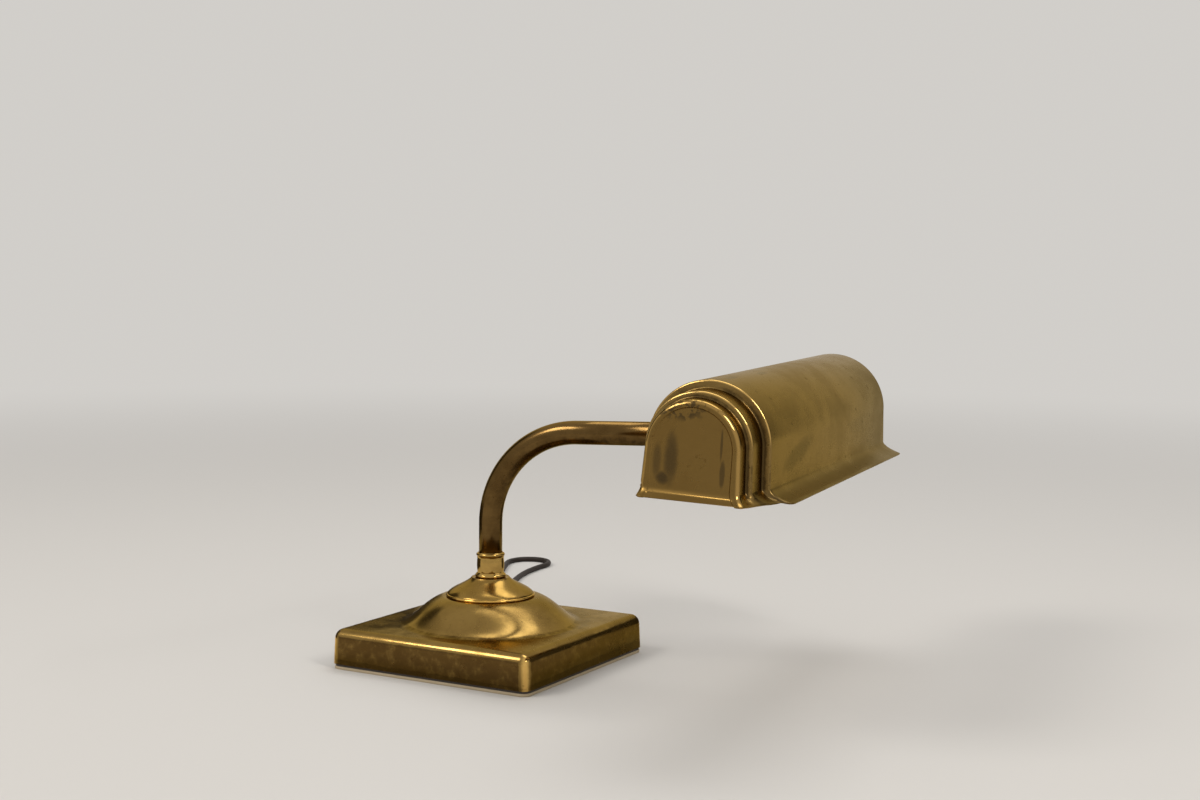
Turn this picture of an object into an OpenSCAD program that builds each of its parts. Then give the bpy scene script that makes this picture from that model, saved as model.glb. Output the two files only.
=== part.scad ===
// Brass desk lamp: a stepped trough shade on a swinging, bent arm over a weighted square base.
// Millimetres. The origin is the middle of the underside, +Z is up and the arm reaches towards +X.

/* [Base] */
// Width of the square base at its foot
base_w = 150; // [140:1:170]
// Height of the flat top of the base
base_h = 26; // [24:0.5:30]
// Radius of the base's corners and top edges
base_round = 6; // [4:0.5:8]
// Inward lean of the base's sides from foot to top
base_lean = 0.8; // [0:0.1:1]
// Sheet thickness of the pressed base
base_wall = 1.2; // [0.8:0.1:1.6]
// Thickness of the felt pad
pad_t = 2; // [1.5:0.5:3]
// Thickness of the plate that closes the base
plate_t = 1.5; // [1:0.25:2]
// Radius at which the dome begins to rise from the flat top
dome_r = 61; // [58:1:68]
// Radius of the dome's level crown
crown_r = 31; // [31:0.5:34]
// Height of the dome's crown above the flat top
dome_rise = 17.5; // [15:0.5:22]
// Reach of the soft hollow at the dome's foot
dome_foot = 9; // [6:0.5:14]
// Reach of the dome's rounded shoulder
dome_shoulder = 12; // [8:0.5:16]
// Thickness of the iron weight
ballast_t = 15; // [12:0.5:16]
// Gap between the weight and the sides of the base
ballast_gap = 8; // [6:0.5:12]

/* [Stem] */
// Radius of the bell cap's foot
bell_r = 29.3; // [27:0.1:30.5]
// Height of the bell cap
bell_h = 12.5; // [10:0.5:16]
// Sheet thickness of the bell cap
bell_wall = 1; // [0.8:0.1:1.4]
// Radius of the bell cap's neck
bell_neck_r = 12.5; // [10.5:0.1:13.5]
// Height of the collar
collar_h = 16.5; // [14:0.5:20]
// Radius of the collar's foot ring
collar_foot_r = 10.2; // [10:0.1:11]
// Radius of the collar's waist
collar_r = 9; // [8.9:0.1:9.4]
// Radius of the collar's top bead
bead_r = 9.4; // [9.4:0.1:10]
// Outside diameter of the threaded stem
stem_d = 10; // [9:0.5:10]
// Bore of the threaded stem
stem_bore = 7; // [6:0.5:7]

/* [Arm] */
// Outside diameter of the arm tube
tube_d = 15.4; // [14:0.1:15.6]
// Wall of the arm tube
tube_wall = 1.2; // [0.8:0.1:1.6]
// Height of the arm's axis where the bend would turn level
arm_h = 154.5; // [145:0.5:180]
// Radius of the bend at the tube's axis
bend_r = 63; // [50:0.5:66]
// Straight length of tube past the bend
arm_straight = 61; // [50:1:90]
// Angle by which the arm still rises past the bend
arm_rise = 1.7; // [0:0.1:6]
// Angle of the arm about the stem, from +X towards +Y
swing_rest = 7.5; // [-60:0.5:60]
// Radial running clearance of the turning arm
swivel_clear = 0.05; // [0.02:0.01:0.1]

/* [Knuckle] */
// Length of the fork from the tube's end to the pivot
fork_len = 14; // [12:0.5:20]
// Width of the fork across its flats
fork_w = 14; // [12:0.5:15]
// Thickness of the tongue
tongue_t = 4.8; // [3.5:0.1:6]
// Gap on each side of the tongue
tongue_gap = 0.3; // [0.2:0.05:0.5]
// Diameter of the pivot screw
pivot_d = 5; // [4:0.5:6]
// Distance from the pivot to the shade's wall
knuckle_reach = 22; // [19:0.1:26]
// Height of the knuckle on the shade's wall above the lip
knuckle_h = 14.3; // [14:0.1:17]
// Tilt of the shade, far side down
tilt_rest = 2.9; // [-20:0.2:30]

/* [Shade] */
// Radius of the barrel's arch
shade_r = 35.9; // [34:0.1:44]
// Height of the arch's centre above the lip
spring_h = 28; // [25:0.1:36]
// Length of the barrel
barrel_l = 263; // [220:1:300]
// Length of the step beside the barrel
step_l = 17.4; // [14:0.2:20]
// Length of the end beside the step
end_l = 11.2; // [10:0.2:14]
// Height of the step below the barrel
step_h = 5; // [4.5:0.1:6]
// Height of the end below the step
end_h = 3.7; // [3.5:0.1:5]
// Sheet thickness of the shade
shade_wall = 0.9; // [0.6:0.1:1.2]
// Outward lean of the shade's sides
shade_draft = 2.8; // [1:0.1:5]
// Rounding of the edge of each end
end_round = 3.4; // [2.5:0.1:4]
// Rounding of the edges of the barrel and the step
step_round = 1.3; // [1.2:0.1:2]
// Height over which the sides sweep out into the lip
lip_h = 6.6; // [5:0.1:6.8]
// Width of the lip along the barrel, on the side away from the arm
lip_barrel = 13; // [9:0.2:14]
// Width of the lip along the barrel, on the arm's side
lip_arm_side = 3.5; // [3:0.5:12]
// Width of the lip across each end
lip_end = 4; // [3:0.1:4.4]
// Width of the lip beside each end, on the side away from the arm
lip_corner = 4; // [2:0.1:4.4]
// Width of the lip beside each end, on the arm's side
lip_corner_arm = 1.2; // [1:0.1:4]
// Depth of the sunk panel in each end
panel_depth = 0.5; // [0.3:0.1:1]

/* [Lamp holder] */
// Height of the bulb's axis above the lip
holder_h = 26; // [24:0.5:32]
// Distance of the bracket's leg from the knuckle along the shade
bracket_reach = 80; // [60:1:100]
// Sheet thickness of the bracket
bracket_t = 1.5; // [1:0.1:2]
// Outside radius of the holder's shell
holder_r = 15.5; // [15:0.1:17]
// Length of the holder's shell
holder_l = 30; // [28:0.5:36]
// Radius of the bulb's glass tube
bulb_r = 14.5; // [12:0.5:16]
// Length of the bulb's glass
bulb_l = 104; // [80:1:130]
// Diameter of the switch key's shaft
key_d = 4; // [3:0.5:5]

/* [Cord] */
// Diameter of the cord
cord_d = 4.2; // [4:0.1:4.2]
// Height of the cord's gland above the table
gland_h = 8.1; // [8:0.1:9]
// Length of the gland's tapered sleeve
gland_l = 20; // [20:1:30]
// Radius of the coil's outermost turn
coil_r = 34; // [32:0.5:34]
// Turns in the coil, ending a quarter past its start
coil_turns = 7.25; // [5.25:1:7.25]
// Distance between turns and between layers
coil_pitch = 4.8; // [4.7:0.05:5]
// Width of the tie round the coil
tie_w = 8; // [5:0.5:10]
// Thickness of the tie
tie_t = 0.8; // [0.5:0.1:1]
// Gap between the tie and the cord
tie_gap = 0.3; // [0.2:0.05:0.5]
// Length of the plug's body
plug_l = 36; // [34:0.5:40]
// Width of the plug's body
plug_w = 35; // [34:0.5:36]
// Thickness of the plug's body
plug_t = 13.7; // [12:0.1:15]
// Length of the plug's pins
pin_l = 19; // [18:0.5:20]
// Spacing of the plug's pins
pin_gap = 18.5; // [17:0.1:19]

/* [Hidden] */
$fn = 64;

// Colours
AGED = [0.52, 0.42, 0.2];
POLISHED = [0.8, 0.62, 0.25];
BRONZE = [0.36, 0.26, 0.12];
STEEL = [0.6, 0.6, 0.62];
IRON = [0.22, 0.22, 0.23];
FELT = [0.72, 0.62, 0.46];
CORD = [0.2, 0.12, 0.08];
CERAMIC = [0.9, 0.88, 0.82];
GLASS = [0.95, 0.93, 0.86];
FIBRE = [0.16, 0.13, 0.11];

// Small clearances: round a screw, in a close fit and over a seat
hole_gap = 0.25;
fit_gap = 0.05;
seat_gap = 0.3;
// Washers and nuts: thickness, and how much wider they are than what they hold
washer_t = 1.2;
washer_lap = 5;
nut_t = 4.5;
nut_grip = 7;

// Heights up the stem
rim_z = pad_t + plate_t;
flat_in = base_h - base_wall;
ballast_w = base_w - 2 * ballast_gap;
ballast_top = flat_in - fit_gap;
ballast_z = ballast_top - ballast_t;
pocket_r = 16;
pocket_deep = 8;
pocket_top = ballast_z + pocket_deep;
crown_z = base_h + dome_rise;
neck_z = crown_z + bell_h;
collar_web = 3.5;
collar_floor = neck_z + collar_web;
collar_top = neck_z + collar_h;
foot_z = collar_floor + seat_gap;
foot_flange = 4.5;
tube_z = foot_z + foot_flange;
stem_low = pocket_top - washer_t - nut_t - 0.5;
stem_top = collar_floor - 0.5;
tube_r = tube_d / 2;
tube_bore_r = tube_r - tube_wall;
groove_z = foot_z + 1.2;
groove_w = 2.2;
groove_r = tube_r - 1.6;
swivel_screw_d = 1.8;
swivel_screw_z = groove_z + groove_w / 2;

// Arm plane: X along the arm, Z up
bend_z = arm_h - bend_r;
bend_a = 90 - arm_rise;
bend_end = [bend_r * (1 - cos(bend_a)), bend_z + bend_r * sin(bend_a)];
arm_dir = [cos(arm_rise), sin(arm_rise)];
tube_end = bend_end + arm_dir * arm_straight;
pivot = tube_end + arm_dir * fork_len;
slot_w = tongue_t + 2 * tongue_gap;
fork_r = fork_w / 2;
tongue_r = fork_r - 0.4;
slot_start = fork_len - fork_r - 1;
screw_head_t = 3;
thumb_t = 6;
thumb_r = 7;

// Shade frame: X across the shade away from the arm, Y along it, Z up from the lip
barrel_end = barrel_l / 2;
step_end = barrel_end + step_l;
shade_end = step_end + end_l;
step_r = shade_r - step_h;
end_r = step_r - end_h;
round_steps = 4;
function side_half(z) = shade_r + tan(shade_draft) * (spring_h - z);
hole_at = [-side_half(knuckle_h), knuckle_h];
wall_out = [-cos(shade_draft), sin(shade_draft)];
pivot_local = hole_at + wall_out * knuckle_reach;
function tilted(p) =
    [p.x * cos(tilt_rest) + p.y * sin(tilt_rest), p.y * cos(tilt_rest) - p.x * sin(tilt_rest)];
shade_at = pivot - tilted(pivot_local);
flange_t = 2.2;
flange_r = 8;
eye_flange_r = 7;
nipple_d = 10;
nipple_nut_w = nipple_d + 4;
nut_x = shade_wall + bracket_t + washer_t;
wire_bore = cord_d + 1.2;
strip_h = 16;

// Lamp holder frame: along the shade from the bracket's leg
leg_y = -bracket_reach;
cap_l = 12;
shell_start = bracket_t + cap_l;
shell_end = shell_start + holder_l;
shell_wall = 1;
core_l = 9;
core_start = shell_start + 1;
contact_t = 2;
bulb_start = core_start + core_l + contact_t;
bulb_cap_r = 13;
bulb_cap_l = 25;
glass_start = bulb_start + bulb_cap_l;
glass_t = 1;
key_y = shell_start + 5;
key_low = holder_h - holder_r - 9;
knob_r = 7;
knob_t = 4;

// Cord. A point is [x, y, height of the cord's underside above the table].
gland_x = -base_w / 2;
gland_y = 30;
gland_hole_r = 4;
gland_flange_r = 4.4;
gland_flange_t = 2;
gland_end = gland_x - gland_flange_t - gland_l;
coil_at = [-76, 117];
coil_low = tie_t + tie_gap + cord_d / 2;
coil_start = [coil_at.x - coil_r, coil_at.y + cord_d, coil_low - cord_d / 2];
coil_exit = [coil_at.x + cord_d, coil_at.y - coil_r, coil_low + coil_pitch - cord_d / 2];
plug_at = [-12, 96];
plug_neck_l = 12;
plug_pin_d = 4;
LEAD = [
    [gland_end, gland_y, gland_h - cord_d / 2], [gland_end - 4, gland_y, gland_h - cord_d / 2],
    [-108, 31, 5], [-115, 34.5, 3.5], [-120.5, 40.5, 2], [-124, 49, 0.8],
    [-125, 58, 0], [-125, 75, 0], [-125, 95, 0], [-125, 115, 0], [-125, 135, 0], [-126, 155, 0],
    [-129, 175, 0], [-134, 195, 0], [-141, 215, 0], [-149, 235, 0], [-158, 255, 0], [-167, 275, 0],
    [-176, 293, 0], [-182, 309, 0], [-179, 323, 0], [-167, 330, 0], [-154, 326, 0], [-147, 314, 0],
    [-146, 298, 0], [-144, 280, 0], [-140, 262, 0], [-134, 244, 0], [-127, 226, 0], [-120, 207, 0],
    [-115, 187, 0], [-112, 167, 0], [-110, 148, 0.6],
    [coil_start.x, coil_start.y + 8, coil_start.z], coil_start
];
TAIL = [
    coil_exit, [coil_exit.x + 5, coil_exit.y, coil_exit.z], [-58, 84, 5.6], [-49, 87, 5.3], [-40, 92, 5],
    [-32, 95.5, 4.8], [plug_at.x - plug_neck_l - 4, plug_at.y, plug_t / 2 - cord_d / 2],
    [plug_at.x - plug_neck_l, plug_at.y, plug_t / 2 - cord_d / 2]
];
BASE_WIRE = [
    [gland_end, gland_y, gland_h], [gland_x, gland_y, gland_h], [gland_x + 6, gland_y, gland_h],
    [-60, 28.5, 7], [-45, 22, 6], [-28, 13, 6], [-14, 6.5, 6], [-7, 3, 6.6], [-2.2, 1, 8.8],
    [-0.5, 0.2, 12], [0, 0, 17], [0, 0, 30], [0, 0, stem_top - 1]
];
// The wire inside the shade: across from the wall, along it from the knuckle, up from the knuckle
SHADE_WIRE = [
    [-8, 0, 0], [2, 0, 0], [10, 0, 0], [16, -4, 0], [19, -14, 0], [18, -28, 1], [16, -45, 3],
    [15, -62, 4], [15, -79, 4], [18, -92, 6], [27, -101, 11], [35, -98, 14.2], [37.4, -88, 14.4]
];
leg_wire_hole = [15, 0, 4];
cord_sides = 8;

// Swept tubes
function unit(v) = v / norm(v);
function spline(a, b, c, d, t) =
    0.5 * (2 * b + (c - a) * t + (2 * a - 5 * b + 4 * c - d) * t * t + (3 * b - a - 3 * c + d) * t * t * t);
function smooth(p, n) = [
    for (i = [0:len(p) - 2]) for (k = [0:n - 1])
        spline(p[max(i - 1, 0)], p[i], p[i + 1], p[min(i + 2, len(p) - 1)], k / n),
    p[len(p) - 1]
];
function heading(p, i) = unit(p[min(i + 1, len(p) - 1)] - p[max(i - 1, 0)]);
function raised(p) = [for (q = p) [q.x, q.y, q.z + cord_d / 2]];
function path_length(p) = len(p) < 2 ? 0 : sum([for (i = [1:len(p) - 1]) norm(p[i] - p[i - 1])]);
function sum(v, i = 0) = i < len(v) ? v[i] + sum(v, i + 1) : 0;

module swept(path, d, sides, up = [0, 0, 1]) {
    last = len(path) - 1;
    points = [
        for (i = [0:last])
            let (t = heading(path, i), s = unit(cross(t, up)), u = cross(s, t))
            for (k = [0:sides - 1])
                let (a = 360 * (k + 0.5) / sides)
                path[i] + d / 2 * (cos(a) * s + sin(a) * u)
    ];
    sides_faces = [
        for (i = [0:last - 1]) for (k = [0:sides - 1])
            let (a = i * sides + k, b = i * sides + (k + 1) % sides)
            each [[a, b, a + sides], [b, b + sides, a + sides]]
    ];
    caps = [
        for (k = [1:sides - 2])
            each [[0, k + 1, k], [last * sides, last * sides + k, last * sides + k + 1]]
    ];
    polyhedron(points, concat(sides_faces, caps));
}

// The coil: in and out again in two layers, climbing in the half turn where the spiral reverses
coil_sides = 6;
coil_rings = 24;
function coil_point(t) =
    let (half = coil_turns / 2,
         r = coil_r - coil_pitch * (half - abs(half - t)),
         climb = min(max((t - half + 0.25) * 2, 0), 1),
         a = 180 + 360 * t)
    [coil_at.x + r * cos(a), coil_at.y + r * sin(a), coil_low + coil_pitch * climb];
coil_path = concat(
    [[coil_start.x, coil_start.y, coil_low]],
    [for (i = [0:coil_turns * coil_rings]) coil_point(i / coil_rings)],
    [[coil_exit.x, coil_exit.y, coil_low + coil_pitch]]
);
coil_self_gap = min([
    for (i = [0:len(coil_path) - 1]) for (j = [i + coil_rings / 2:1:len(coil_path) - 1])
        norm(coil_path[i] - coil_path[j])
]) - cord_d;
echo(coil_self_gap = coil_self_gap);
lead_path = smooth(raised(LEAD), 2);
tail_path = smooth(raised(TAIL), 2);
echo(cord_length = path_length(lead_path) + path_length(coil_path) + path_length(tail_path));

// Frames
module in_arm() rotate([0, 0, swing_rest]) children();
module at_tube_end() in_arm() translate([tube_end.x, 0, tube_end.y]) rotate([0, -arm_rise, 0]) children();
module in_shade() in_arm() translate([shade_at.x, 0, shade_at.y]) rotate([0, tilt_rest, 0]) children();
module at_wall() in_shade() translate([hole_at.x, 0, hole_at.y]) rotate([0, shade_draft, 0]) children();
module on_holder() in_shade() translate([0, leg_y, holder_h]) rotate([-90, 0, 0]) children();

// Shapes that repeat
module along_x(x0, x1, r) translate([x0, 0, 0]) rotate([0, 90, 0]) cylinder(r = r, h = x1 - x0);
module along_y(y0, y1, r) translate([0, y0, 0]) rotate([-90, 0, 0]) cylinder(r = r, h = y1 - y0);
module washer(r_out, r_in, t) difference() {
    cylinder(r = r_out, h = t);
    translate([0, 0, -1]) cylinder(r = r_in, h = t + 2);
}
module hex_nut(across, r_in, t) difference() {
    cylinder(d = across / cos(30), h = t, $fn = 6);
    translate([0, 0, -1]) cylinder(r = r_in, h = t + 2);
}
module round_square(w, r) {
    square([w - 2 * r, w], center = true);
    square([w, w - 2 * r], center = true);
    for (x = [-1, 1], y = [-1, 1]) translate([x, y] * (w / 2 - r)) circle(r);
}
// A box with rounded corners and top edges, standing from z0 to z1
edge_steps = 6;
module soft_box(w, z0, z1, r, lean) hull() for (x = [-1, 1], y = [-1, 1]) {
    translate([x * (w / 2 - r), y * (w / 2 - r), z0]) cylinder(r = r, h = 0.1, $fn = 32);
    for (k = [0:edge_steps]) let (a = 90 * k / edge_steps)
        translate([x * (w / 2 - r - lean), y * (w / 2 - r - lean), z1 - r + r * sin(a) - 0.01])
            cylinder(r = max(r * cos(a), 0.01), h = 0.01, $fn = 32);
}
// Notches for the fingers round the edge of a knob
module notches(count, knob, r, proud, z, h) for (i = [0:count - 1]) rotate([0, 0, 360 * i / count])
    translate([knob + proud, 0, z]) cylinder(r = r, h = h, $fn = 16);
// Points of an arc from one angle to another
function arc(c, r, a0, a1, n) = [
    for (i = [0:n]) let (a = a0 + (a1 - a0) * i / n) c + r * [cos(a), sin(a)]
];

// Base
pad_inset = 0.5;
plate_inset = 0.8;
module felt_pad() color(FELT) linear_extrude(pad_t) round_square(base_w - 2 * pad_inset, base_round);

module bottom_plate() color(FIBRE) difference() {
    translate([0, 0, pad_t]) linear_extrude(plate_t) round_square(base_w - 2 * plate_inset, base_round);
    for (p = plate_screw_places) translate([p.x, p.y, pad_t - 1])
        cylinder(d = plate_screw_d + 2 * hole_gap, h = plate_t + 2);
}

plate_screw_d = 4;
plate_screw_at = ballast_w / 2 - 14;
plate_screw_places = [for (x = [-1, 1], y = [-1, 1]) [x, y] * plate_screw_at];
plate_screw_deep = 8;
spacer_r = 5;
// Shouldered screws: a thick shank keeps the plate away from the weight
module plate_screws() color(STEEL) for (p = plate_screw_places) translate([p.x, p.y, 0]) {
    translate([0, 0, pad_t]) cylinder(d = plate_screw_d, h = ballast_z - pad_t + plate_screw_deep);
    translate([0, 0, rim_z]) cylinder(r = spacer_r, h = ballast_z - rim_z);
}

dome_steps = 16;
shoulder_drop = 2;
// Dome line from the flat top to the crown: level at the foot, hollow, then rounded
dome_pull = [[dome_r, base_h], [dome_r - dome_foot, base_h],
             [crown_r + dome_shoulder, crown_z - shoulder_drop], [crown_r, crown_z]];
function dome_line(drop) = [
    for (i = [0:dome_steps]) let (t = i / dome_steps, u = 1 - t)
        u * u * u * dome_pull[0] + 3 * u * u * t * dome_pull[1]
        + 3 * u * t * t * dome_pull[2] + t * t * t * dome_pull[3] - [0, drop]
];
module dome(z0, drop) rotate_extrude($fn = 96)
    polygon(concat([[0, z0], [dome_r, z0]], dome_line(drop), [[0, crown_z - drop]]));
module base_shell() color(AGED) difference() {
    union() {
        soft_box(base_w, rim_z, base_h, base_round, base_lean);
        dome(flat_in, 0);
    }
    soft_box(base_w - 2 * base_wall, rim_z - 1, flat_in, base_round - base_wall, base_lean);
    dome(flat_in - 1, base_wall);
    cylinder(d = stem_d + 2 * hole_gap, h = crown_z + 1);
    translate([gland_x - 2, gland_y, gland_h]) rotate([0, 90, 0]) cylinder(r = gland_hole_r, h = 6);
}

module ballast() color(IRON) difference() {
    translate([0, 0, ballast_z]) linear_extrude(ballast_t) round_square(ballast_w, base_round);
    cylinder(d = stem_d + 2 * hole_gap, h = base_h);
    translate([0, 0, ballast_z - 1]) cylinder(r = pocket_r, h = pocket_top - ballast_z + 1);
    for (p = plate_screw_places) translate([p.x, p.y, ballast_z - 1])
        cylinder(d = plate_screw_d + 2 * fit_gap, h = plate_screw_deep + 2);
}

// Stem
module stem_pipe() color(STEEL) translate([0, 0, stem_low])
    washer(stem_d / 2, stem_bore / 2, stem_top - stem_low);

module stem_washer() color(STEEL) translate([0, 0, pocket_top - washer_t])
    washer(stem_d / 2 + washer_lap, stem_d / 2 + hole_gap, washer_t);

module stem_nut() color(STEEL) translate([0, 0, pocket_top - washer_t - nut_t])
    hex_nut(stem_d + nut_grip, stem_d / 2 + fit_gap, nut_t);

// Bell cap: a beaded rim, then a side that swells out and hollows in again up to the neck
rim_bead = 0.9;
side_foot = [bell_r - rim_bead, crown_z + 2 * rim_bead + 0.1];
side_ease = 0.55;
bell_inward = [0.6, 0.8];
bell_steps = 10;
function swell(t) = (1 - side_ease) * t + side_ease * (1 - cos(180 * t)) / 2;
function bell_side(cut) = [
    for (i = [0:bell_steps]) let (t = i / bell_steps)
        [side_foot.x - (side_foot.x - bell_neck_r) * swell(t), side_foot.y + (neck_z - side_foot.y) * t]
        - cut * bell_inward
];
module bell_cap() color(POLISHED) rotate_extrude($fn = 96) difference() {
    polygon(concat(
        [[0, crown_z]], arc([bell_r - rim_bead, crown_z + rim_bead], rim_bead, -90, 90, 6),
        bell_side(0), [[0, neck_z]]));
    polygon(concat(
        [[0, crown_z - 1], [bell_r - 1.6 * bell_wall, crown_z - 1]],
        bell_side(bell_wall), [[0, neck_z - bell_wall * bell_inward.y]]));
    square([stem_d / 2 + hole_gap, neck_z + 1]);
}

collar_ring_h = 2.4;
bead_h = 3.2;
module collar() color(POLISHED) difference() {
    rotate_extrude($fn = 96) polygon(concat(
        [[0, neck_z]],
        arc([collar_foot_r - collar_ring_h / 2, neck_z + collar_ring_h / 2], collar_ring_h / 2, -90, 90, 8),
        [[collar_r, neck_z + collar_ring_h + 0.4], [collar_r, collar_top - bead_h]],
        arc([bead_r - bead_h / 2, collar_top - bead_h / 2], bead_h / 2, -60, 90, 8),
        [[0, collar_top]]));
    translate([0, 0, collar_floor]) cylinder(r = tube_r + swivel_clear, h = collar_h);
    translate([0, 0, neck_z - 1]) cylinder(r = stem_d / 2 + fit_gap, h = stem_top - neck_z + 1);
    cylinder(r = stem_bore / 2, h = collar_top);
    translate([0, 0, swivel_screw_z]) rotate([0, 0, swivel_screw_way])
        along_x(0, 2 * bead_r, swivel_screw_d / 2 + fit_gap);
}

// Small screw at the back of the collar, whose tip runs in the groove of the arm's foot
swivel_screw_way = 125;
module swivel_screw() color(POLISHED) translate([0, 0, swivel_screw_z]) rotate([0, 0, swivel_screw_way]) {
    along_x(groove_r + seat_gap, collar_r + 0.3, swivel_screw_d / 2);
    along_x(collar_r + 0.3, collar_r + 1.3, swivel_screw_d / 2 + 0.7);
}

// Cord gland: a bush in the back wall with a tapered sleeve
gland_shank = base_wall + base_lean;
gland_step = 0.4;
gland_tip = 0.9;
module cord_gland() color(FIBRE) translate([gland_x, gland_y, gland_h]) rotate([0, -90, 0]) difference() {
    union() {
        translate([0, 0, -gland_shank - gland_flange_t]) cylinder(r = gland_flange_r, h = gland_flange_t);
        translate([0, 0, -gland_shank - 1]) cylinder(r = gland_hole_r - fit_gap, h = gland_shank + 2);
        cylinder(r = gland_flange_r, h = gland_flange_t);
        translate([0, 0, gland_flange_t])
            cylinder(r1 = gland_flange_r - gland_step, r2 = cord_d / 2 + gland_tip, h = gland_l);
    }
    translate([0, 0, -10]) cylinder(r = cord_d / 2 + fit_gap, h = gland_l + 20);
}

module base_wire() color(CORD) swept(smooth(BASE_WIRE, 2), cord_d, cord_sides, [0.6, -0.8, 0.05]);

// Arm: a straight rise, a bend and a straight reach. A station is [middle, angle turned].
bend_steps = 24;
function arm_stations(z0, straight) = concat(
    [[[0, 0, z0], 0]],
    [for (i = [0:bend_steps]) let (a = bend_a * i / bend_steps)
        [[bend_r * (1 - cos(a)), 0, bend_z + bend_r * sin(a)], a]],
    [[[bend_end.x + straight * arm_dir.x, 0, bend_end.y + straight * arm_dir.y], bend_a]]
);
function hoop(station, r, sides) = [
    for (k = [0:sides - 1]) let (a = 360 * k / sides)
        station[0] + r * (cos(a) * [-cos(station[1]), 0, sin(station[1])] + sin(a) * [0, -1, 0])
];
// A pipe along the stations: out along its outside and back along its inside
module bent_pipe(stations, r, r_in, sides) {
    count = len(stations);
    hoops = concat(
        [for (s = stations) hoop(s, r, sides)],
        [for (i = [count - 1:-1:0]) hoop(stations[i], r_in, sides)]);
    polyhedron([for (h = hoops) each h], [
        for (j = [0:2 * count - 1]) for (i = [0:sides - 1])
            let (a = j * sides + i, b = j * sides + (i + 1) % sides, next = (j + 1) % (2 * count) * sides,
                 c = next + i, d = next + (i + 1) % sides)
            each [[a, c, b], [b, c, d]]
    ]);
}
tube_sides = 40;
module arm_tube() color(BRONZE) in_arm()
    bent_pipe(arm_stations(tube_z, arm_straight), tube_r, tube_bore_r, tube_sides);

foot_spigot = 10;
module arm_foot() color(POLISHED) difference() {
    translate([0, 0, foot_z]) union() {
        cylinder(r = tube_r, h = foot_flange);
        cylinder(r = tube_bore_r - 2 * fit_gap, h = foot_flange + foot_spigot);
    }
    translate([0, 0, groove_z]) washer(tube_r + 1, groove_r, groove_w);
    cylinder(r = stem_bore / 2, h = tube_z + foot_spigot + 1);
}

module arm_wire() color(CORD) in_arm()
    swept([for (s = arm_stations(foot_z + 1, arm_straight + slot_start - 1)) s[0]],
          cord_d, cord_sides, [0, 1, 0]);

// Knuckle between the arm and the shade
fork_spigot = 12;
module knuckle_fork() color(BRONZE) at_tube_end() difference() {
    union() {
        along_x(-fork_spigot, 0, tube_bore_r - 2 * fit_gap);
        intersection() {
            along_x(0, fork_len + fork_r, tube_r);
            translate([0, -fork_w / 2, -tube_r]) cube([fork_len + fork_r, fork_w, 2 * tube_r]);
            union() {
                translate([0, -fork_w, -tube_r]) cube([fork_len, 2 * fork_w, 2 * tube_r]);
                translate([fork_len, 0, 0]) along_y(-fork_w, fork_w, fork_r);
            }
        }
    }
    translate([slot_start, -slot_w / 2, -tube_r - 1]) cube([fork_len + tube_d, slot_w, 2 * tube_r + 2]);
    translate([fork_len, 0, 0]) along_y(-fork_w, fork_w, pivot_d / 2 + fit_gap);
    along_x(-fork_spigot - 1, slot_start + 1, wire_bore / 2);
}

module pivot_screw() color(POLISHED) at_tube_end() translate([fork_len, 0, 0]) {
    difference() {
        along_y(-fork_w / 2 - screw_head_t, -fork_w / 2, pivot_d);
        translate([-pivot_d - 1, -fork_w / 2 - screw_head_t - 1, -0.5]) cube([2 * pivot_d + 2, 2, 1]);
    }
    along_y(-fork_w / 2, fork_w / 2 + thumb_t + 1, pivot_d / 2);
}

thumb_ribs = 16;
module thumb_nut() color(POLISHED) at_tube_end()
    translate([fork_len, fork_w / 2, 0]) rotate([-90, 0, 0]) difference() {
        cylinder(r = thumb_r, h = thumb_t);
        translate([0, 0, -1]) cylinder(r = pivot_d / 2 + fit_gap, h = thumb_t + 2);
        notches(thumb_ribs, thumb_r, 0.9, 0.4, 1, thumb_t);
    }

eye_neck = fork_r + 1.5;
eye_wall = 1.5;
eye_bar = wire_bore + 2 * eye_wall;
module knuckle_eye() color(POLISHED) at_wall() difference() {
    union() {
        translate([-knuckle_reach, 0, 0]) along_y(-tongue_t / 2, tongue_t / 2, tongue_r);
        translate([-knuckle_reach, -tongue_t / 2, -eye_bar / 2]) cube([eye_neck + 1, tongue_t, eye_bar]);
        along_x(-knuckle_reach + eye_neck, -flange_t, eye_bar / 2);
        along_x(-flange_t, 0, eye_flange_r);
        along_x(-flange_t, nut_x + nut_t + 1, nipple_d / 2);
    }
    translate([-knuckle_reach, 0, 0]) along_y(-tongue_t, tongue_t, pivot_d / 2 + fit_gap);
    along_x(-knuckle_reach + eye_neck + eye_wall, nut_x + nut_t + 2, wire_bore / 2);
}

// Shade. One side of its plan as [along, out], from the middle of one end to the middle of the other.
// grow moves every wall out, sweep goes from 0 at the wall to 1 at the lip's edge,
// and lips are the lip's widths beside the end and along the barrel.
fillet = 1.2;
lip_round = 5;
// How far before the barrel's lip the lip beside the end stops
lip_short = [1, 1.2];
far_lips = [lip_corner, lip_barrel];
arm_lips = [lip_corner_arm, lip_arm_side];
function convex(y, r, f) = arc([y + f, r - f], f, 180, 90, round_steps);
function concave(y, r, f) = arc([y - f, r + f], f, -90, 0, 2);
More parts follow.
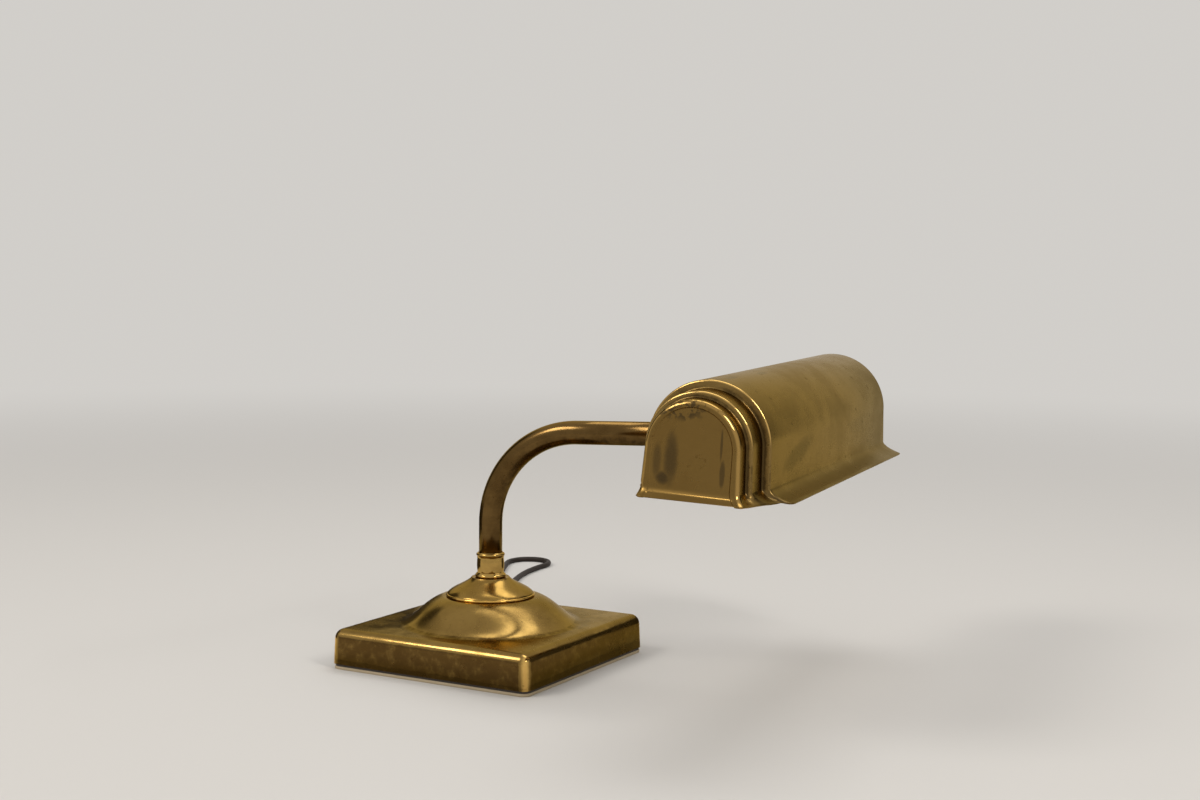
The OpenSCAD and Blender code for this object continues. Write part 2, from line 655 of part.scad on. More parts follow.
// At the lip's edge the step fades into a straight line from the end's corner to the barrel's lip
function faded(points, from, to, sweep) = [
    for (i = [0:len(points) - 1]) let (t = (i + 1) / (len(points) + 1))
        points[i] * (1 - sweep) + (from * (1 - t) + to * t) * sweep
];
function half_plan(grow, sweep, lips) =
    let (end_y = -shade_end - grow, step_y = -step_end - grow, barrel_y = -barrel_end - grow,
         r1 = end_r + grow, r2 = step_r + grow, r3 = shade_r + grow,
         corner_f = end_round + min(grow, 0), edge_f = step_round + min(grow, 0),
         hollow_f = fillet - min(grow, 0), lip_f = edge_f + lip_round,
         end_lip = [-lip_end, lips[0]] * sweep,
         panel_edge = [end_y + panel_depth, end_r - end_round - 2 * panel_depth],
         end_edge = concat([panel_edge], convex(end_y, r1, corner_f)),
         step_edge = concat(
             concave(step_y, r1, hollow_f), convex(step_y, r2, edge_f), concave(barrel_y, r2, hollow_f)),
         lip_from = [end_y + corner_f - lip_end, r1 + lips[0]],
         lip_to = [barrel_y, r3 + lips[1] - lip_f] - lip_short)
    concat(
        [for (p = end_edge) p + end_lip],
        faded(step_edge, lip_from, lip_to, sweep),
        convex(barrel_y, r3 + lips[1] * sweep, edge_f + lip_round * sweep)
    );
function mirrored(p) = [for (i = [len(p) - 1:-1:0]) [-p[i].x, p[i].y]];
function plan_side(grow, sweep, lips) = let (h = half_plan(grow, sweep, lips)) concat(h, mirrored(h));
// Sides: level rings from the arch down to the lip on the outside, and back up on the inside
lip_steps = 6;
side_levels = [0, 0.5, 1];
function lean_at(z) = tan(shade_draft) * (spring_h - z);
lip_top = lip_h + shade_wall;
// Each level is [height, lean, sweep], where the sweep goes from 0 at the wall to 1 at the lip's edge
outer_levels = concat(
    [for (s = side_levels) let (z = spring_h + (lip_top - spring_h) * s) [z, lean_at(z), 0]],
    [for (i = [1:lip_steps]) let (t = i / lip_steps) [lip_top - lip_h * t, lean_at(lip_top), t * t]]
);
inner_levels = concat(
    [for (s = side_levels) let (z = spring_h + (lip_top - spring_h) * s) [z, lean_at(z) - shade_wall, 0]],
    [for (i = [1:lip_steps]) let (t = i / lip_steps, a = atan(2 * t * lip_barrel / lip_h))
        [lip_top - lip_h * t - shade_wall * sin(a), lean_at(lip_top) - shade_wall * cos(a), t * t]]
);
function level_ring(l) =
    let (far = plan_side(l[1], l[2], far_lips), near = plan_side(l[1], l[2], arm_lips))
    concat(
        [for (p = far) [p.y, p.x, l[0]]],
        [for (i = [len(near) - 1:-1:0]) [-near[i].y, near[i].x, l[0]]]);
// Arch: the plan's side turned over the axis from one wall to the other, closed by a flat panel at each end
arch_steps = 24;
function arch_row(side, k) = let (a = 180 * k / arch_steps)
    [for (p = side) [p.y * cos(a), p.x, spring_h + p.y * sin(a)]];
// A skin is the sides' levels from the top down, then the inner rows of the arch
function skin_points(levels, grow) =
    let (side = plan_side(grow, 0, far_lips))
    concat([for (l = levels) each level_ring(l)], [for (k = [1:arch_steps - 1]) each arch_row(side, k)]);
// Point i of row k of the arch: its first and last rows are the two sides of the top level
function arch_index(n, first, k, i) =
    k == 0 ? i : k == arch_steps ? 2 * n - 1 - i : first + (k - 1) * n + i;
function skin_faces(n, rows) =
    let (first = rows * 2 * n)
    concat(
        [for (j = [0:rows - 2]) for (i = [0:2 * n - 1])
            let (a = j * 2 * n + i, b = j * 2 * n + (i + 1) % (2 * n), c = a + 2 * n, d = b + 2 * n)
            each [[a, b, c], [b, d, c]]],
        [for (k = [0:arch_steps - 1]) for (i = [0:n - 2])
            let (a = arch_index(n, first, k, i), b = arch_index(n, first, k, i + 1),
                 c = arch_index(n, first, k + 1, i), d = arch_index(n, first, k + 1, i + 1))
            each [[a, c, b], [b, c, d]]],
        [for (k = [1:arch_steps - 1]) each [
            [arch_index(n, first, 0, 0), arch_index(n, first, k + 1, 0), arch_index(n, first, k, 0)],
            [arch_index(n, first, 0, n - 1), arch_index(n, first, k, n - 1),
             arch_index(n, first, k + 1, n - 1)]]]
    );
function flipped(faces, shift) = [for (f = faces) [f[0] + shift, f[2] + shift, f[1] + shift]];
module shade_skin() {
    outer = skin_points(outer_levels, 0);
    inner = skin_points(inner_levels, -shade_wall);
    n = len(plan_side(0, 0, far_lips));
    rows = len(outer_levels);
    lip = (rows - 1) * 2 * n;
    edge = [
        for (i = [0:2 * n - 1])
            let (a = lip + i, b = lip + (i + 1) % (2 * n), c = a + len(outer), d = b + len(outer))
            each [[a, b, c], [b, d, c]]
    ];
    faces = skin_faces(n, rows);
    polyhedron(concat(outer, inner), concat(faces, flipped(faces, len(outer)), edge));
}
module shade_shell() color(AGED) difference() {
    in_shade() shade_skin();
    at_wall() along_x(-4, 4, nipple_d / 2 + hole_gap);
}

module shade_washer() color(STEEL) at_wall() translate([shade_wall + bracket_t, 0, 0]) rotate([0, 90, 0])
    washer(flange_r, nipple_d / 2 + hole_gap, washer_t);

module shade_nut() color(STEEL) at_wall() translate([nut_x, 0, 0]) rotate([0, 90, 0])
    hex_nut(nipple_nut_w, nipple_d / 2 + fit_gap, nut_t);

// Lamp holder: a strip along the wall, bent across the shade into a leg that carries the holder
leg_at = [-hole_at.x * cos(shade_draft) - (holder_h - hole_at.y) * sin(shade_draft), 0,
          (holder_h - hole_at.y) * cos(shade_draft) - hole_at.x * sin(shade_draft)];
leg_r = 11;
leg_holes = [[leg_at, nipple_d / 2 + hole_gap], [leg_wire_hole, wire_bore / 2 + 1]];
module holder_bracket() color(STEEL) at_wall() difference() {
    union() {
        translate([shade_wall, leg_y, -strip_h / 2]) {
            cube([bracket_t, bracket_reach + strip_h / 2, strip_h]);
            cube([leg_at.x - shade_wall, bracket_t, strip_h / 2 + leg_at.z]);
        }
        translate(leg_at) along_y(leg_y, leg_y + bracket_t, leg_r);
    }
    along_x(0, nipple_d, nipple_d / 2 + hole_gap);
    for (hole = leg_holes) translate(hole[0]) along_y(leg_y - 1, leg_y + bracket_t + 1, hole[1]);
}

nipple_tail = nut_t + 1;
nipple_head = 6;
module holder_nipple() color(STEEL) on_holder() translate([0, 0, -nipple_tail])
    washer(nipple_d / 2, wire_bore / 2, nipple_tail + bracket_t + nipple_head);

module holder_nut() color(STEEL) on_holder() translate([0, 0, -nut_t])
    hex_nut(nipple_nut_w, nipple_d / 2 + fit_gap, nut_t);

cap_flat_r = 8;
cap_round = 7;
module holder_cap() color(POLISHED) on_holder() rotate_extrude() difference() {
    polygon(concat(
        [[0, bracket_t], [cap_flat_r, bracket_t]],
        arc([cap_flat_r, bracket_t + cap_round], cap_round, -90, 0, 6),
        [[holder_r, shell_start - 2], [holder_r, shell_start], [0, shell_start]]));
    translate([0, bracket_t + 4]) square([holder_r - shell_wall - 2, cap_l]);
    square([nipple_d / 2 + fit_gap, shell_start + 1]);
}

boss_r = key_d / 2 + 2;
boss_h = 3;
module holder_shell() color(POLISHED) on_holder() difference() {
    union() {
        translate([0, 0, shell_start]) cylinder(r = holder_r, h = holder_l);
        translate([0, 0, key_y]) rotate([-90, 0, 0]) cylinder(r = boss_r, h = holder_r + boss_h);
    }
    translate([0, 0, shell_start - 1]) cylinder(r = holder_r - shell_wall, h = holder_l + 2);
    translate([0, 0, key_y]) rotate([-90, 0, 0])
        cylinder(r = key_d / 2 + fit_gap, h = holder_r + boss_h + 1);
}

core_r = holder_r - shell_wall - seat_gap;
module holder_core() color(CERAMIC) on_holder() difference() {
    translate([0, 0, core_start]) cylinder(r = core_r, h = core_l);
    translate([0, 0, key_y]) rotate([-90, 0, 0]) cylinder(r = key_d / 2 + seat_gap, h = holder_r);
}

screw_shell_l = 18;
module screw_shell() color(POLISHED) on_holder() translate([0, 0, core_start + core_l])
    washer(bulb_cap_r + seat_gap + 0.5, bulb_cap_r + seat_gap, screw_shell_l);

contact_r = 4;
module centre_contact() color(POLISHED) on_holder() translate([0, 0, core_start + core_l])
    cylinder(r = contact_r, h = contact_t);

ring_l = 6;
ring_t = 2.5;
module holder_ring() color(POLISHED) on_holder() translate([0, 0, shell_end - ring_l - 2])
    washer(holder_r + ring_t, holder_r + fit_gap, ring_l);

module shade_wire() color(CORD) at_wall() swept(smooth(SHADE_WIRE, 2), cord_d, cord_sides);

// Turn switch: a shaft into the holder with a knob under it, out of sight above the lip
key_stop = 4;
knob_notches = 12;
module switch_key() color(FIBRE) in_shade() translate([0, leg_y + key_y, key_low]) {
    cylinder(d = key_d, h = holder_h - key_stop - key_low);
    difference() {
        cylinder(r = knob_r, h = knob_t);
        notches(knob_notches, knob_r, 1.2, 0.6, -1, knob_t + 2);
    }
}

// Bulb
cap_wall = 0.7;
glass_tuck = 5;
module bulb_cap() color(POLISHED) on_holder() difference() {
    union() {
        translate([0, 0, bulb_start]) cylinder(r = 5, h = 4);
        translate([0, 0, bulb_start + 2]) cylinder(r = bulb_cap_r, h = bulb_cap_l - 2);
    }
    translate([0, 0, bulb_start + 4]) cylinder(r = bulb_cap_r - cap_wall, h = bulb_cap_l);
}
module bulb_glass() color(GLASS) on_holder() rotate_extrude() difference() {
    bulb_outline(0);
    bulb_outline(glass_t);
}
bulb_neck_l = 10;
module bulb_outline(t) polygon(concat(
    [[0, glass_start - glass_tuck + t], [glass_neck_r - t, glass_start - glass_tuck + t],
     [glass_neck_r - t, glass_start], [bulb_r - t, glass_start + bulb_neck_l]],
    arc([bulb_r - bulb_tip_r, glass_start + bulb_l - bulb_tip_r], bulb_tip_r - t, 0, 90, 8),
    [[0, glass_start + bulb_l - t]]));
bulb_tip_r = 10;
glass_neck_r = bulb_cap_r - cap_wall - fit_gap;

filament_l = 0.7 * bulb_l;
filament_foot_r = 6;
filament_foot_l = 12;
filament_gap = 4;
filament_r = 0.5;
module bulb_filament() color(STEEL) on_holder() translate([0, 0, glass_start - glass_tuck + glass_t]) {
    cylinder(r1 = filament_foot_r, r2 = filament_foot_r / 2, h = filament_foot_l);
    for (x = [-1, 1]) translate([x * filament_gap / 2, 0, filament_foot_l / 2])
        cylinder(r = filament_r, h = filament_l - filament_foot_l / 2);
    translate([0, 0, filament_l - filament_r]) rotate([0, 90, 0])
        cylinder(r = filament_r, h = filament_gap, center = true);
}

// Cord
module cord_lead() color(CORD) swept(lead_path, cord_d, cord_sides);
module cord_coil() color(CORD) swept(coil_path, cord_d, coil_sides);
module cord_tail() color(CORD) swept(tail_path, cord_d, cord_sides);

// A strap round the coil's bundle, on the side away from where the cord comes in
tie_way = 45;
tie_turn = 0.625;
tie_r_out = coil_r - coil_pitch * tie_turn + cord_d / 2 + tie_gap;
coil_in = coil_r - coil_pitch * coil_turns / 2 - cord_d / 2;
tie_r_in = sqrt(coil_in * coil_in - tie_w * tie_w / 4) - tie_gap;
tie_span = tie_r_out - tie_r_in;
tie_h = coil_pitch + cord_d + 2 * tie_gap;
module cord_tie() color(FIBRE) translate([coil_at.x, coil_at.y, 0]) rotate([0, 0, tie_way]) difference() {
    translate([tie_r_in - tie_t, -tie_w / 2, 0]) cube([tie_span + 2 * tie_t, tie_w, tie_h + 2 * tie_t]);
    translate([tie_r_in, -tie_w, tie_t]) cube([tie_span, 2 * tie_w, tie_h]);
}

plug_tip_w = 14;
plug_tip_l = 6;
plug_grip_l = 14;
plug_neck_r = 5.5;
plug_neck_wall = 0.8;
module plug_body() color(CORD) translate([plug_at.x, plug_at.y, 0]) {
    linear_extrude(plug_t) polygon([
        [0, -plug_tip_w / 2], [plug_tip_l, -plug_tip_w / 2 - 2], [plug_l - plug_grip_l, -plug_w / 2],
        [plug_l, -plug_w / 2], [plug_l, plug_w / 2], [plug_l - plug_grip_l, plug_w / 2],
        [plug_tip_l, plug_tip_w / 2 + 2], [0, plug_tip_w / 2]]);
    translate([-plug_neck_l, 0, plug_t / 2]) rotate([0, 90, 0])
        cylinder(r1 = cord_d / 2 + plug_neck_wall, r2 = plug_neck_r, h = plug_neck_l);
}
module plug_pins() color(POLISHED) for (y = [-1, 1])
    translate([plug_at.x, plug_at.y + y * pin_gap / 2, plug_t / 2])
        along_x(plug_l, plug_l + pin_l, plug_pin_d / 2);

felt_pad();
bottom_plate();
plate_screws();
base_shell();
ballast();
stem_pipe();
stem_washer();
stem_nut();
bell_cap();
collar();
swivel_screw();
cord_gland();
base_wire();
arm_tube();
arm_foot();
arm_wire();
knuckle_fork();
pivot_screw();
thumb_nut();
knuckle_eye();
shade_shell();
shade_washer();
shade_nut();
holder_bracket();
holder_nipple();
holder_nut();
holder_cap();
holder_shell();
holder_core();
screw_shell();
centre_contact();
holder_ring();
shade_wire();
switch_key();
bulb_cap();
bulb_glass();
bulb_filament();
cord_lead();
cord_coil();
cord_tie();
cord_tail();
plug_body();
plug_pins();
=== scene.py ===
# %% [markdown]
# # A brass desk lamp
# The real lamp is a pressed brass base with a dome, a bent tube that swings in a turned collar, and a long
# stepped shade that tilts at the tube's end. The solids already hold its sizes and its joints, so this
# lesson dresses them: it spins, bevels and extrudes smooth brass sheet over the coarse solids, lays the
# cord, and gives every surface a finish. All of it is in the frame of the solids. Shapes are drawn in
# millimetres, as a maker draws them, and scaled to metres when they become objects.

import math

import bmesh
import bpy
from mathutils import Matrix, Vector


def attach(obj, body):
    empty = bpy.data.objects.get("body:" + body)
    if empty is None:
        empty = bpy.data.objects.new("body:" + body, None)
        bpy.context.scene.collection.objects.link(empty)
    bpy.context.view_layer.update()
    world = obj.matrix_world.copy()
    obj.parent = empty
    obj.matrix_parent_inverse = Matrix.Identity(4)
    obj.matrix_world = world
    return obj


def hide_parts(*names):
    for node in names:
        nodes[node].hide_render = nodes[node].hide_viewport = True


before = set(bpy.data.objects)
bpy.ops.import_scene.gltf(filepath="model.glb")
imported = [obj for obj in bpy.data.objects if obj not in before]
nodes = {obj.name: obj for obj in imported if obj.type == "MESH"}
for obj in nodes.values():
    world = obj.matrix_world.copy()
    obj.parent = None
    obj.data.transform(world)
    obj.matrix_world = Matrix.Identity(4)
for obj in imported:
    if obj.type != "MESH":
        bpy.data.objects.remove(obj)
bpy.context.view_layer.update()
scene = bpy.context.scene
MM = 0.001


def placed(name, data):
    """A new object that holds the data, put in the scene."""
    made = bpy.data.objects.new(name, data)
    scene.collection.objects.link(made)
    return made


# %% [markdown]
# ## Camera
# The view was fitted to the base's straight edges and to both edges of the tube. A camera could be aimed
# with a constraint, but three measured directions say exactly where its right, top and back point.

# %% Camera
camera_right = Vector((0.868945, 0.494862, 0.006826))
camera_up = Vector((-0.048806, 0.071959, 0.996213))
camera_back = Vector((0.492497, -0.865987, 0.086680))
camera_at = (0.644008, -0.987529, 0.276022)
camera_data = bpy.data.cameras.new("camera")
camera_data.sensor_width = 36.0
camera_data.lens = 54.0
camera_data.clip_end = 100.0
camera = placed("camera", camera_data)
turn = Matrix((camera_right, camera_up, camera_back)).transposed().to_4x4()
camera.matrix_world = Matrix.Translation(camera_at) @ turn
scene.camera = camera
print("camera lens:", camera_data.lens)

# %% [markdown]
# ## The cord
# A lamp flex is one length of soft round cable. It leaves a tapered bush in the back of the base, lies in a
# long loop behind it, and the rest is put away in a coil held by a strap. A curve with a round bevel is the
# natural tool: its points repeat the route of the solids, and a smooth spline runs through them.

# %% Route of the cord, in millimetres
cord_d = 4.2
# x, y and the height of the cord's underside
LEAD = [
    (-97, 30, 6), (-101, 30, 6), (-108, 31, 5), (-115, 34.5, 3.5), (-120.5, 40.5, 2), (-124, 49, 0.8),
    (-125, 58, 0), (-125, 75, 0), (-125, 95, 0), (-125, 115, 0), (-125, 135, 0), (-126, 155, 0),
    (-129, 175, 0), (-134, 195, 0), (-141, 215, 0), (-149, 235, 0), (-158, 255, 0), (-167, 275, 0),
    (-176, 293, 0), (-182, 309, 0), (-179, 323, 0), (-167, 330, 0), (-154, 326, 0), (-147, 314, 0),
    (-146, 298, 0), (-144, 280, 0), (-140, 262, 0), (-134, 244, 0), (-127, 226, 0), (-120, 207, 0),
    (-115, 187, 0), (-112, 167, 0), (-110, 148, 0.6), (-110, 129.2, 1.1), (-110, 121.2, 1.1),
]
TAIL = [
    (-71.8, 83, 5.9), (-66.8, 83, 5.9), (-58, 84, 5.6), (-49, 87, 5.3), (-40, 92, 5),
    (-32, 95.5, 4.8), (-28, 96, 4.75), (-24, 96, 4.75),
]
coil_middle = (-76, 117)
coil_r, coil_turns, coil_pitch, coil_low = 34, 7.25, 4.8, 3.2
span_steps, turn_steps = 4, 36


def spline_through(points):
    """Points of a smooth curve through the given points."""
    line = [Vector(p) for p in points]
    out = []
    for i in range(len(line) - 1):
        a, b, c, d = line[max(i - 1, 0)], line[i], line[i + 1], line[min(i + 2, len(line) - 1)]
        slope, bend, twist = c - a, 2 * a - 5 * b + 4 * c - d, 3 * b - a - 3 * c + d
        for k in range(span_steps):
            t = k / span_steps
            out.append(0.5 * (2 * b + slope * t + bend * t**2 + twist * t**3))
    return out + [line[-1]]


def coil_point(t):
    """A point of the coil after t turns: in along the lower layer, up at the middle, out along the upper."""
    half = coil_turns / 2
    radius = coil_r - coil_pitch * (half - abs(half - t))
    climb = min(max((t - half + 0.25) * 2, 0), 1)
    angle = math.radians(180 + 360 * t)
    return Vector((coil_middle[0] + radius * math.cos(angle), coil_middle[1] + radius * math.sin(angle),
                   coil_low + coil_pitch * climb))


lift = Vector((0, 0, cord_d / 2))
lead, tail = ([p + lift for p in spline_through(points)] for points in (LEAD, TAIL))
coil = [coil_point(i / turn_steps) for i in range(1, int(coil_turns * turn_steps))]
cord_line = [p * MM for p in lead + coil + tail]
cord_length = sum((b - a).length for a, b in zip(cord_line, cord_line[1:]))
print("cord length:", round(cord_length, 3))

# %% Cord
flex_curve = bpy.data.curves.new("flex", "CURVE")
flex_curve.dimensions = "3D"
flex_curve.bevel_depth = 1.0
flex_curve.bevel_resolution = 4
flex_curve.use_fill_caps = True
spline = flex_curve.splines.new("POLY")
spline.points.add(len(cord_line) - 1)
for point, place in zip(spline.points, cord_line):
    point.co = (*place, 1)
    point.radius = cord_d / 2 * MM
spline.use_smooth = True
flex = placed("flex", flex_curve)
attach(flex, "base")
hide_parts("cord_lead", "cord_coil", "cord_tail")
print("cord points:", len(spline.points))

# %% [markdown]
# ## Finishes
# Brass is never one colour: it tarnishes olive and brown where it is left alone and stays gold where hands
# and cloths rub it. The colour, the roughness and the bump therefore come from nodes. Wiring those by hand
# is long, so a small class wraps a socket and turns plain sums into Math nodes.

# %% Sockets that take sums
class Wire:
    """One output of a node. Sums on it add Math nodes."""

    def __init__(self, board, socket):
        self.board, self.socket = board, socket

    def math(self, operation, a, b):
        return self.board.add("ShaderNodeMath", {"operation": operation}, {0: a, 1: b})

    def __add__(self, other):
        return self.math("ADD", self, other)

    def __radd__(self, other):
        return self.math("ADD", other, self)

    def __sub__(self, other):
        return self.math("SUBTRACT", self, other)

    def __rsub__(self, other):
        return self.math("SUBTRACT", other, self)

    def __mul__(self, other):
        return self.math("MULTIPLY", self, other)

    def __rmul__(self, other):
        return self.math("MULTIPLY", other, self)

    def __truediv__(self, other):
        return self.math("DIVIDE", self, other)

    def __pow__(self, other):
        return self.math("POWER", self, other)

    def larger(self, other):
        return self.math("MAXIMUM", self, other)

    def size(self):
        return self.math("ABSOLUTE", self, 0.0)

    def between(self, low, high):
        """0 at low, 1 at high, with a soft start and end."""
        return self.board.add("ShaderNodeMapRange", {"interpolation_type": "SMOOTHSTEP"},
                              {0: self, 1: low, 2: high})


# %% Boards of nodes
class Board:
    """A tree of nodes, and the kinds of node that this lamp's finishes and its light are made of."""

    def __init__(self, tree):
        self.tree = tree

    def add(self, kind, settings=None, inputs=None, output=0):
        """A node of that kind, with its settings, then its sockets' values or links."""
        node = self.tree.nodes.new(kind)
        for key, value in (settings or {}).items():
            setattr(node, key, value)
        for key, value in (inputs or {}).items():
            self.put(node.inputs[key], value)
        return Wire(self, node.outputs[output])

    def put(self, socket, value):
        if isinstance(value, Wire):
            self.tree.links.new(value.socket, socket)
        else:
            socket.default_value = value

    def mix(self, amount, a, b):
        return self.add("ShaderNodeMix", {"data_type": "RGBA"}, {0: amount, 6: a, 7: b}, 2)


class Finish(Board):
    """A material of this lamp."""

    def __init__(self, name, **sockets):
        self.material = bpy.data.materials.new(name)
        self.material.use_nodes = True
        super().__init__(self.material.node_tree)
        self.shader = self.tree.nodes["Principled BSDF"]
        self.feed(**sockets)

    def feed(self, **sockets):
        """Values or links for the shader, named with _ for each space."""
        for key, value in sockets.items():
            self.put(self.shader.inputs[key.replace("_", " ").title().replace("Ior", "IOR")], value)

    def place(self, location=(0, 0, 0), rotation=(0, 0, 0)):
        """Object coordinates measured in a frame that is moved and turned."""
        at = self.add("ShaderNodeTexCoord", output=3)
        return self.add("ShaderNodeMapping", {"vector_type": "TEXTURE"}, {0: at, 1: location, 2: rotation})

    def stretched(self, place, scale):
        return self.add("ShaderNodeMapping", None, {0: place, 3: scale})

    def axes(self, place):
        return [self.add("ShaderNodeSeparateXYZ", None, {0: place}, axis) for axis in range(3)]

    def noise(self, place, scale, detail=3.0, roughness=0.55, distortion=0.0):
        values = {"Vector": place, "Scale": scale, "Detail": detail, "Roughness": roughness,
                  "Distortion": distortion}
        return self.add("ShaderNodeTexNoise", None, values)

    def bump(self, height, distance):
        """Relief: a height from 0 to 1, and what 1 stands for in metres."""
        return self.add("ShaderNodeBump", None, {"Height": height, "Strength": 1.0, "Distance": distance})

    def attribute(self, name):
        return self.add("ShaderNodeAttribute", {"attribute_name": name}, None, 2)


def rgb(red, green, blue):
    return (red, green, blue, 1.0)


# %% [markdown]
# ## Building helpers
# Every new piece is a bmesh that becomes one object at the origin, with its place in its mesh, riding on
# the body of the solid that it stands for. A turned piece is a closed outline spun round the axis of the
# stem.

# %% Pieces from meshes
def mesh_object(name, bm, finish):
    """Turns a bmesh in metres into an object with a finish."""
    mesh = bpy.data.meshes.new(name)
    bm.to_mesh(mesh)
    bm.free()
    mesh.materials.append(finish.material)
    return placed(name, mesh)


def piece(name, bm, finish, body, stands_for=(), crease=38.0):
    """Turns a bmesh in millimetres into a smooth object that rides on a body."""
    bmesh.ops.transform(bm, matrix=Matrix.Scale(MM, 4), verts=bm.verts)
    made = mesh_object(name, bm, finish)
    faces = made.data.polygons
    faces.foreach_set("use_smooth", [True] * len(faces))
    made.data.set_sharp_from_angle(angle=math.radians(crease))
    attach(made, body)
    if stands_for:
        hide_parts(*stands_for)
    print(name, "faces:", len(faces))
    return made


def sheet_wall(made, thickness, rim=0.0):
    """Gives a skin its wall on the inside, and a rounded rim."""
    wall = made.modifiers.new("wall", "SOLIDIFY")
    wall.thickness = thickness * MM
    wall.offset = -1.0
    if rim:
        edge = made.modifiers.new("rim", "BEVEL")
        edge.width = rim * MM
        edge.segments = 2
        edge.limit_method = "ANGLE"
        edge.angle_limit = math.radians(55)


# %% Outlines, spinning and rounding
merge_gap = 1e-4


def arc(middle, radius, start, end, count):
    """Points of an arc in a plane, from one angle to another in degrees."""
    angles = [math.radians(start + (end - start) * i / count) for i in range(count + 1)]
    return [(middle[0] + radius * math.cos(a), middle[1] + radius * math.sin(a)) for a in angles]


def closed_up(bm):
    """Merges the points that meet, and turns the faces outwards."""
    bmesh.ops.remove_doubles(bm, verts=bm.verts, dist=merge_gap)
    bmesh.ops.recalc_face_normals(bm, faces=bm.faces)


def spun_round(bm, line, edges, steps):
    """Spins a line through a full turn round the stem's axis."""
    bmesh.ops.spin(bm, geom=line + edges, cent=(0, 0, 0), axis=(0, 0, 1), angle=math.tau, steps=steps,
                   use_merge=True)


def turned(outline, steps):
    """A closed outline of (radius, height) points, spun round the stem's axis."""
    bm = bmesh.new()
    row = [bm.verts.new((r, 0, z)) for r, z in outline]
    spun_round(bm, row, [bm.edges.new(pair) for pair in zip(row, row[1:] + row[:1])], steps)
    closed_up(bm)
    return bm


def rounded(bm, edges, radius, segments):
    """Rounds some edges."""
    bmesh.ops.bevel(bm, geom=edges, offset=radius, offset_type="OFFSET", segments=segments, profile=0.5,
                    affect="EDGES", material=-1)


# %% [markdown]
# ## Brass finishes
# The same brass shows in several states. The shade and the base are dull olive gold with cloudy tarnish,
# brown specks and edges that are rubbed bright. The bell is smoother, and the collar and the screws are
# polished. The tube has gone dark bronze but is still glossy, and the holder inside the shade is matt. One
# function makes them all, from a rubbed, a dull and a dark colour. Where a piece keeps a wear number on its
# points, the finish is bright where that is high: worn edges, and on the bell's rim and the tube's top a
# painted highlight too. Below 0 it is dark: patina in the hollows, and on the base's sides, the tube's under
# side and the shade's lower steps painted shade too.

# %% Frame of the shade
swing, tilt = math.radians(7.5), math.radians(2.9)
shade_at = Vector((193.789, 0, 138.380))
shade_frame = Matrix.Rotation(swing, 4, "Z") @ Matrix.Translation(shade_at) @ Matrix.Rotation(tilt, 4, "Y")
shade_place = {"location": tuple(shade_frame.translation * MM), "rotation": tuple(shade_frame.to_euler())}
print("shade's place:", [round(v, 4) for v in shade_place["location"]])

# %% Brass
# Depth of the rubbed streaks and of the finest grain, in millimetres
scratch, grit = 0.004, 0.0015
smoothest = 0.06


def brass(name, rubbed, dull, dark, smooth, rough, place=None, cloud=45.0, grain=(1, 1, 1), wear=0.0,
          specks=0.5, dents=0.0):
    """Tarnished brass. place turns the pattern, grain stretches its rubbed streaks, dents are in
    millimetres, and wear is how many times brighter than rubbed brass its worn edges and painted
    highlights are."""
    finish = Finish(name, metallic=1.0, specular_tint=rgb(0.86, 0.73, 0.48))
    at = finish.place(**(place or {}))
    clouds = finish.noise(at, cloud, 4.0, 0.6, 0.4)
    streaks = finish.noise(finish.stretched(at, grain), cloud * 2.2, 5.0, 0.65)
    fine = finish.noise(at, cloud * 14, 3.0, 0.6)
    spots = finish.noise(at, cloud * 9, 2.0, 0.5).between(0.66, 0.76) * specks
    clean = (clouds * 0.65 + streaks * 0.35).between(0.36, 0.66)
    colour = finish.mix(clean, dull, rubbed)
    roughness = smooth + (rough - smooth) * (1.0 - clean)
    if wear:
        # High wear numbers are worn edges and painted highlights; below 0, patina in hollows and painted
        # shade.
        edge = finish.attribute("wear_and_shade")
        bright = (edge + (streaks - 0.5) * 0.6).between(0.3, 0.95)
        patches = finish.noise(at, cloud * 4, 4.0, 0.7)
        crevice_and_shade = (0.0 - edge - (patches - 0.5) * 1.8).between(0.1, 0.9)
        colour = finish.mix(bright * 0.8, colour, rgb(*[min(1.0, c * wear) for c in rubbed[:3]]))
        colour = finish.mix(crevice_and_shade * 0.85, colour, dark)
        roughness = roughness - bright * 0.14
    colour = finish.mix(spots, colour, dark)
    roughness = roughness + spots * 0.25 + (fine - 0.5) * 0.05
    relief = streaks * scratch
    if dents:
        relief = finish.noise(at, 34.0, 1.0, 0.4) * dents + relief
    finish.feed(base_color=colour, roughness=roughness.larger(smoothest),
                normal=finish.bump(relief + fine * grit, MM))
    finish.at, finish.colour = at, colour
    print("finish:", name)
    return finish


# %% Brass of the small parts, the tube, the bell, the base and the holder
polished = brass("polished_brass", rgb(0.54, 0.345, 0.10), rgb(0.40, 0.25, 0.07), rgb(0.12, 0.065, 0.02),
                 0.09, 0.17, cloud=60.0, specks=0.35, dents=0.25)
bronze = brass("bronze_tube", rgb(0.158, 0.094, 0.031), rgb(0.102, 0.058, 0.018), rgb(0.034, 0.019, 0.007),
               0.18, 0.28, cloud=55.0, grain=(0.25, 0.25, 1.0), wear=1.95, specks=0.3, dents=0.08)
bell_brass = brass("bell_brass", rgb(0.37, 0.228, 0.06), rgb(0.273, 0.164, 0.042), rgb(0.09, 0.05, 0.014),
                   0.17, 0.27, cloud=48.0, wear=2.0, specks=0.35, dents=0.3)
base_brass = brass("base_brass", rgb(0.33, 0.21, 0.062), rgb(0.23, 0.142, 0.041), rgb(0.085, 0.045, 0.013),
                   0.15, 0.28, cloud=38.0, wear=2.8, specks=0.5, dents=0.6)
inner_brass = brass("inner_brass", rgb(0.46, 0.31, 0.11), rgb(0.36, 0.235, 0.08), rgb(0.14, 0.085, 0.03),
                    0.25, 0.4, cloud=50.0, specks=0.4)
